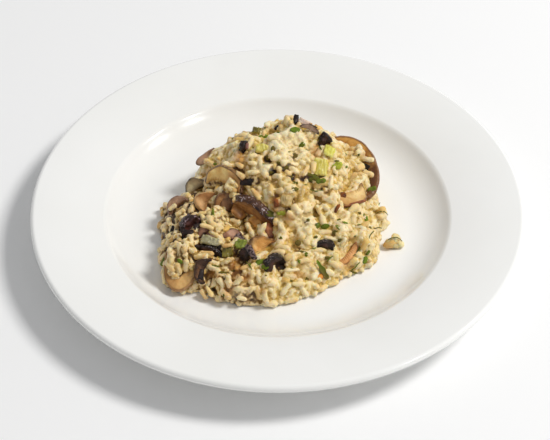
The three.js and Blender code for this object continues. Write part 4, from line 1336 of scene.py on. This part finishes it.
def flesh_finish(name):
    """Cut mushroom: mottled flesh, a browned band with gills, and a thin dark glossy skin round the crown, with
    painted glints.
    """
    pale, middle, deep, skin, glint, far = paints(FLESH[name])
    graph = Graph("mushroom_" + name)
    from_skin = graph.attribute("from_skin")
    from_gills = graph.attribute("from_gills")
    blotch = graph.noise(0.007, 4.0, 0.6)
    fine = graph.noise(0.0018, 3.0)
    along = graph.attribute("along")
    flesh = graph.mix(blotch.between(0.38, 0.6), pale, middle)
    flesh = graph.mix((along + 0.8 * blotch).between(0.3, 0.7), flesh, far)
    flesh = graph.mix(blotch.between(0.56, 0.72) * 0.85, flesh, deep)
    flesh = graph.mix(fine.between(0.5, 0.75) * 0.35, flesh, deep)
    flesh = graph.mix((from_skin + 2.0 * fine).between(3.6, 1.2) * 0.45, flesh, deep)
    stripes = (along * 60.0 + 5.0 * blotch).sine().between(-0.6, 0.9)
    gills = (from_gills + 1.5 * fine).between(3.4, 1.6)
    flesh = graph.mix(gills * (0.3 + 0.35 * stripes), flesh, deep)
    rim = (from_skin + 0.7 * blotch + 0.7 * fine).between(1.15, 0.55)
    wrinkle = graph.noise(0.0018, 4.0, 1.0)
    gleam = wrinkle.between(0.55, 0.63)
    # painted glints: pale flecks in the skin's colour where its coat is also glossier
    skin = graph.mix(gleam * 0.8, skin, glint)
    colour = graph.mix(rim, flesh, skin)
    relief = fine * 0.5 + blotch + stripes * gills * 0.4 + rim * wrinkle * 1.6
    graph.set(
        Base_Color=colour, Roughness=0.5 - 0.14 * rim, Coat_Weight=0.1 + 0.4 * rim * gleam, Coat_Roughness=0.15,
        Specular_IOR_Level=0.35, Normal=graph.bump(relief, 0.0007), **soft(0.12, "mushroom"),
    )
    return graph.material


def make_slices():
    finishes = {name: flesh_finish(name) for name in FLESH}
    for name, (_, _, finish, power, curl, rim) in SLICES.items():
        crumple = CAP["dark_crumple" if finish in CRUMPLED else "crumple"]
        bm = slice_form(slabs[name].half, power, curl, rim, crumple)
        slabs[name].place(bm)
        piece = object_from(bm, name.replace("mushroom", "slice"), finishes[finish])
        finish_piece(piece, "mushroom", name)


# ---------- Leek, onion and parsley ----------

STALK_COLOURS = {
    # pale stripe, deep stripe, end
    "yellow": ((234, 222, 138), (200, 182, 60), (224, 212, 124)),
    "lime": ((230, 224, 122), (206, 196, 62), (226, 220, 130)),
    "olive": ((146, 132, 40), (96, 84, 14), (150, 138, 60)),
    "green": ((150, 160, 54), (98, 112, 22), (160, 168, 74)),
    "onion": ((210, 186, 128), (186, 156, 96), (180, 142, 80)),
    "pearl": ((190, 184, 148), (146, 138, 104), (176, 168, 128)),
}


def stalk_form(half, radius, wall, sweep):
    """A short length of a layered stalk: x across, y along, z out to its ribbed skin."""
    bm = thick_grid(*STALK["cells"])
    ribs = STALK["ribs" if radius > STALK["ribbed_from"] else "faint_ribs"]
    around = bm.verts.layers.float.new("around")
    end = bm.verts.layers.float.new("end")
    turn = math.radians(sweep) / 2
    middle = (radius + (radius - wall) * math.cos(turn)) / 2
    shift = any_shift()
    for vertex in bm.verts:
        u, v, w = vertex.co
        edge = 1 - STALK["rounding"] * max(abs(u), abs(v)) ** 6 * abs(w)
        rib = ribs * math.sin(STALK["rib_count"] * math.pi * u + STALK["rib_slant"] * v) * (w > 0.9)
        reach = radius - wall * (1 - w * edge) / 2 + rib
        place = Vector((reach * math.sin(turn * u), v * half[1] * edge, reach * math.cos(turn * u) - middle))
        vertex.co = place
        for close, high in (STALK["wave"], STALK["small_wave"]):
            vertex.co += noise.noise_vector(place * close + shift) * high
        vertex[around] = u
        vertex[end] = abs(v)
    return bm


def stalk_finish(name):
    """Cooked leek: pale and deep green threads along the stalk, wet and half clear."""
    pale, deep, end = paints(STALK_COLOURS[name])
    graph = Graph("stalk_" + name)
    cloud = graph.noise(0.003, 4.0, 0.5)
    threads = (graph.attribute("around") * 13.0 + cloud * 7.0).sine().between(-1.0, 1.0)
    colour = graph.mix((threads * 0.3 + cloud * 1.2).between(0.4, 1.0), pale, deep)
    colour = graph.mix(graph.attribute("end").between(0.93, 1.0), colour, end)
    graph.set(
        Base_Color=colour, Roughness=0.38, Coat_Weight=0.3, Coat_Roughness=0.15,
        Normal=graph.bump(threads * 0.3 + cloud, 0.0004), **soft(0.4, "leek"),
    )
    return graph.material


def make_stalks():
    finishes = {name: stalk_finish(name) for name in STALK_COLOURS}
    for name, (_, _, finish, radius, wall, sweep) in STALKS.items():
        bm = stalk_form(slabs[name].half, radius, wall, sweep)
        slabs[name].place(bm)
        piece = object_from(bm, name + "_cut", finishes[finish])
        finish_piece(piece, "onion" if finish == "onion" else "leek", name)


def leaf_form(length_cuts, width_cuts, lobes, cup):
    """A leaf round the origin, 2 long along y and up to 2 wide, with a lobed edge and a bent blade."""
    bm = bmesh.new()
    bmesh.ops.create_grid(bm, x_segments=width_cuts, y_segments=length_cuts, size=1.0)
    for vertex in bm.verts:
        x, y, _ = vertex.co
        t = (y + 1) / 2
        width = math.sin(math.pi * (0.08 + 0.84 * t)) ** 0.7 * (1 + 0.22 * math.sin(lobes * math.pi * t))
        vertex.co = (x * width, y, cup * (x * x - 0.3) + 0.25 * math.sin(2.4 * y + 0.6) * cup)
    bmesh.ops.solidify(bm, geom=bm.faces[:], thickness=0.14)
    return bm


def herb_finish():
    """Parsley: every fleck its own green, darker and duller where the heat has caught it; the darkest flecks in the
    gaps at the top also stand for painted shade there.
    """
    graph = Graph("parsley")
    tone = graph.attribute("tone")
    colour = graph.mix(tone.between(0.0, 0.35), srgb(108, 84, 34), srgb(96, 100, 26))
    colour = graph.mix(tone.between(0.35, 0.65), colour, srgb(108, 130, 30))
    colour = graph.mix(tone.between(0.65, 1.0), colour, srgb(194, 196, 66))
    colour = graph.mix(graph.noise(0.002, 3.0).between(0.45, 0.7) * 0.5, colour, srgb(76, 72, 18))
    graph.set(
        Base_Color=colour, Roughness=0.55, Specular_IOR_Level=0.3,
        Normal=graph.bump(graph.noise(0.0012, 3.0), 0.0002), **soft(0.2, "parsley"),
    )
    return graph.material


def make_leaf(finish):
    """The large leaf, broader towards one end, with a darker end."""
    form = LEAF_FORM
    for name in LEAF:
        slab = slabs[name]
        bm = leaf_form(*form["cuts"], form["lobes"], form["cup"])
        for vertex in bm.verts:
            vertex.co.x *= form["middle"] + form["broader"] * vertex.co.y
        size = (slab.half[0] * form["width"], slab.half[1], slab.half[0] * form["thickness"])
        bmesh.ops.scale(bm, verts=bm.verts, vec=size)
        slab.place(bm)
        layer = bm.verts.layers.float.new("tone")
        low = min(vertex.co.y for vertex in bm.verts)
        high = max(vertex.co.y for vertex in bm.verts)
        for vertex in bm.verts:
            up = (vertex.co.y - low) / (high - low)
            vertex[layer] = form["first_tone"] + form["more_tone"] * up ** 2
        finish_piece(object_from(bm, "parsley_leaf", finish), "parsley", name)


# ---------- Flecks, stems and shreds on the surface ----------

TONES = {"brown": 0.02, "dark": 0.14, "teal": 0.3, "olive": 0.5, "green": 0.62, "lime": 0.95}
TONE_CHANCES = {0.05: 0.05, 0.2: 0.1, 0.35: 0.25, 0.5: 0.35, 0.62: 0.25}
FLECK = {
    # against the sizes in HERBS: how much larger the lighter ones are, how thick; and sizes of the scattered ones
    "lighter_size": 1.3, "least_thick": 1.2, "thick": 0.5, "raised": 0.2,
    "widths": (0.5, 1.1), "lengths": (0.8, 1.9), "thickness": 0.6, "left_size": 0.6, "scattered_raised": 0.1,
}
LEAFLETS = [arrays_of(leaf_form(5, 2, lobes, cup)) for lobes, cup in ((3, 0.3), (2, -0.4), (4, 0.2), (1, 0.5))]
STEM = {"sides": 7, "radius": 0.34, "taper": 0.75, "cuts": 7, "waver": 0.1, "raised": 0.5, "tilt": 0.6}
SHRED = {
    # shapes and their cuts, how round and how torn they are; and sizes of the scattered ones
    "shapes": 4, "cuts": 3, "size": 1.15, "round": 0.6, "tear": (1.1, 0.4), "thickest": 3.2, "sunk": 0.2,
    "lengths": (1.2, 3.0), "widths": (0.9, 1.8), "thicknesses": (0.6, 1.0), "scattered_sunk": 0.4,
    "from_depth": 0.75, "most_facing": 0.2, "names": ("russet", "ochre", "dark_bits_and_shade", "ochre"),
}
SHRED_FINISHES = {
    # pale, deep, slot; the skin's pale is its painted glints
    "russet": ((150, 84, 36), (84, 42, 20), "mushroom"), "ochre": ((230, 172, 90), (188, 128, 56), "mushroom"),
    # the near-black finish stands for dark bits of mushroom and, in the gaps, for painted shade
    "dark_bits_and_shade": ((48, 30, 23), (20, 12, 8), "mushroom"), "rose": ((176, 130, 116), (122, 80, 70), "mushroom"),
    "carrot": ((230, 160, 66), (204, 128, 44), "carrot"), "amber": ((192, 136, 74), (140, 90, 42), "mushroom"),
    "chestnut": ((176, 112, 72), (118, 66, 44), "mushroom"), "dusk": ((150, 108, 70), (100, 70, 46), "mushroom"),
    "skin": ((130, 108, 104), (34, 20, 20), "mushroom"), "blush": ((232, 212, 194), (200, 170, 150), "mushroom"),
}


def turned(x_axis, normal):
    """Rows that take local x to x_axis as nearly as they can and local z to normal."""
    z = np.array(normal, float) / np.linalg.norm(normal)
    x = np.array(x_axis, float)
    x -= z * (x @ z)
    x /= np.linalg.norm(x)
    return np.stack([x, np.cross(z, x), z])


def view_turn(degrees, normal):
    """Rows that turn local x by an angle in the view and local z to normal."""
    right, up, _, _ = view_axes()
    angle = math.radians(degrees)
    return turned(right * math.cos(angle) + up * math.sin(angle), normal)


def scattered_places(tree, count, front):
    """Places on the heap behind a part of its depth, seen from straight above its slope, with the normal there."""
    low, high = box_of("risotto")
    low[1] += (high[1] - low[1]) * front
    places = []
    while len(places) < count:
        x, y = rng.uniform(low[:2] + 4, high[:2] - 4)
        if surface.height(x, y) < surface.floor + 4:
            continue
        way = Vector(surface.normal(x, y))
        start = Vector((x, y, float(surface.height(x, y)))) + way * 8
        place, normal = tree.ray_cast(start, -way)[:2]
        if place is not None and not ovals_over(np.array([place]), BARE)[0]:
            places.append((place, normal if normal.dot(way) > 0 else -normal))
    return places


def make_herbs(tree, finish):
    """Flecks of parsley at their own places, then smaller ones scattered over the whole heap."""
    parts, tones = [], []
    for number, (x, y, length, width, degrees, tone) in enumerate(HERBS):
        place, normal = seen_at(tree, x, y)
        if place is None:
            continue
        normal = (normal + view_axes()[2]).normalized()
        grown = 1.0 if tone == "dark" else FLECK["lighter_size"]
        thick = max(FLECK["least_thick"], width * FLECK["thick"])
        scale = np.array((width, length, thick)) * grown * pixel_size(place) / 2
        corners, faces = LEAFLETS[number % len(LEAFLETS)]
        middle = np.array(place + normal * FLECK["raised"])
        parts.append((corners * scale @ view_turn(degrees - 90, normal) + middle, faces))
        tones.append(TONES[tone])
    for place, normal in scattered_places(tree, SCATTERED["herbs"], 0.0):
        corners, faces = LEAFLETS[rng.integers(len(LEAFLETS))]
        scale = np.array((rng.uniform(*FLECK["widths"]), rng.uniform(*FLECK["lengths"]), FLECK["thickness"]))
        scale *= 1.0 if place.x > 0 else FLECK["left_size"]
        turn = turned(rng.normal(size=3), normal)
        parts.append((corners * scale @ turn + np.array(place + normal * FLECK["scattered_raised"]), faces))
        tones.append(rng.choice(tuple(TONE_CHANCES), p=tuple(TONE_CHANCES.values())))
    make_joined("parsley_flecks", parts, {"tone": tones}, finish, "parsley")


def stem_form(length, bow):
    """A thin bowed stem round the origin, along x."""
    bm = bmesh.new()
    radius = STEM["radius"]
    bmesh.ops.create_cone(
        bm, cap_ends=True, segments=STEM["sides"], radius1=radius, radius2=radius * STEM["taper"], depth=length,
    )
    bmesh.ops.rotate(bm, verts=bm.verts, cent=(0, 0, 0), matrix=Matrix.Rotation(math.pi / 2, 3, "Y"))
    long_edges = [edge for edge in bm.edges if abs(edge.verts[0].co.x - edge.verts[1].co.x) > length / 2]
    bmesh.ops.subdivide_edges(bm, edges=long_edges, cuts=STEM["cuts"])
    for vertex in bm.verts:
        t = 2 * vertex.co.x / length
        vertex.co.y += bow * (1 - t * t) + STEM["waver"] * math.sin(5 * t)
    return arrays_of(bm)


def make_stems(tree, finish):
    parts = []
    for x1, y1, x2, y2, bow in STEMS:
        place, normal = seen_at(tree, (x1 + x2) / 2, (y1 + y2) / 2)
        if place is None:
            continue
        normal = (normal * STEM["tilt"] + view_axes()[2]).normalized()
        size = pixel_size(place)
        degrees = math.degrees(math.atan2(y1 - y2, x2 - x1))
        corners, faces = stem_form(math.hypot(x2 - x1, y2 - y1) * size, bow * size)
        parts.append((corners @ view_turn(degrees, normal) + np.array(place + normal * STEM["raised"]), faces))
    make_joined("parsley_stems", parts, {"tone": rng.uniform(0.2, 0.6, len(parts))}, finish, "parsley")


def shred_shape():
    """A torn strip with rounded edges, about 2 long, wide and thick."""
    bm = bmesh.new()
    bmesh.ops.create_cube(bm, size=2.0)
    bmesh.ops.subdivide_edges(bm, edges=bm.edges[:], cuts=SHRED["cuts"], use_grid_fill=True)
    close, high = SHRED["tear"]
    shift = any_shift()
    for vertex in bm.verts:
        place = vertex.co.lerp(vertex.co.normalized() * SHRED["size"], SHRED["round"])
        vertex.co = place + noise.noise_vector(place * close + shift) * high
    return arrays_of(bm)


def shred_finish(name):
    """A torn bit of mushroom or carrot; skin is dark with small pale painted glints."""
    pale, deep = paints(SHRED_FINISHES[name][:2])
    graph = Graph("shred_" + name)
    # the skin's pale flecks are painted glints
    size, low, high = (0.0015, 0.56, 0.44) if name == "skin" else (0.003, 0.35, 0.65)
    cloud = graph.noise(size, 4.0, 0.5)
    graph.set(
        Base_Color=graph.mix(cloud.between(low, high), pale, deep), Roughness=0.4, Coat_Weight=0.15,
        Coat_Roughness=0.15, Specular_IOR_Level=0.3, Normal=graph.bump(cloud, 0.0006), **soft(0.15, "shred"),
    )
    return graph.material


def make_shreds(tree):
    """Shreds at their own places, then some scattered over the back, which the camera doesn't see."""
    shapes = [shred_shape() for _ in range(SHRED["shapes"])]
    parts = {name: [] for name in SHRED_FINISHES}
    for number, (x, y, length, width, degrees, finish) in enumerate(SHREDS):
        place, normal = seen_at(tree, x, y)
        if place is None:
            continue
        corners, faces = shapes[number % len(shapes)]
        scale = np.array((length, width, min(width, SHRED["thickest"]))) * pixel_size(place) / 2
        turn = view_turn(degrees, (normal + view_axes()[2]).normalized())
        parts[finish].append((corners * scale @ turn + np.array(place - normal * SHRED["sunk"]), faces))
    names = SHRED["names"]
    for number, (place, normal) in enumerate(scattered_places(tree, SCATTERED["shreds"], SHRED["from_depth"])):
        if normal.dot(view_axes()[2]) > SHRED["most_facing"]:
            continue
        corners, faces = shapes[number % len(shapes)]
        scale = np.array([rng.uniform(*SHRED[key]) for key in ("lengths", "widths", "thicknesses")])
        middle = np.array(place - normal * SHRED["scattered_sunk"])
        turn = turned(rng.normal(size=3), normal)
        parts[names[number % len(names)]].append((corners * scale @ turn + middle, faces))
    for name, chosen in parts.items():
        if chosen:
            make_joined("shreds_" + name, chosen, {}, shred_finish(name), SHRED_FINISHES[name][2])


LOOSE = (
    # place in the node's box, from -1 to 1; the way it lies; half sizes
    ((-0.4, -0.3, -0.1), (0.9, 0.35, 0.1), (4.2, 2.5, 2.1)), ((0.4, -0.05, 0), (0.8, -0.6, 0), (4.2, 2.6, 2.1)),
    ((0.05, 0.35, 0.1), (0.5, 0.9, 0.1), (4.0, 2.5, 2.0)), ((0.0, -0.1, -0.2), (1, 0.1, 0), (5.0, 3.0, 1.8)),
)


def make_loose_grains():
    """A few grains lying apart on the plate."""
    low, high = box_of("loose_grains")
    middle, half = (low + high) / 2, (high - low) / 2
    parts = []
    for number, (place, axis, size) in enumerate(LOOSE):
        corners, faces = GRAIN_SHAPES[number]
        turn = turned(axis, (0.1 * number, -0.1, 1))
        parts.append((corners * size @ turn + middle + np.array(place) * half, faces))
    tints = {"tint": (0.0, 0.9, 0.7, 0.5)}
    make_joined("loose_clump", parts, tints, rice_skin("rice_loose"), "rice", "loose_grains")


# ---------- The dish ----------

make_camera()
make_table()
make_lights()
make_plate()
make_slices()
make_stalks()
herb_green = herb_finish()
make_leaf(herb_green)
grains = Grains()
make_rice(grains)
make_cream(grains)
make_loose_grains()
food = tree_of([
    piece.data for piece in bpy.context.scene.objects
    if piece.type == "MESH" and piece.name.startswith(("rice_", "cream_", "slice_", "loose_clump"))
])
make_shreds(food)
make_herbs(food, herb_green)
make_stems(food, herb_green)
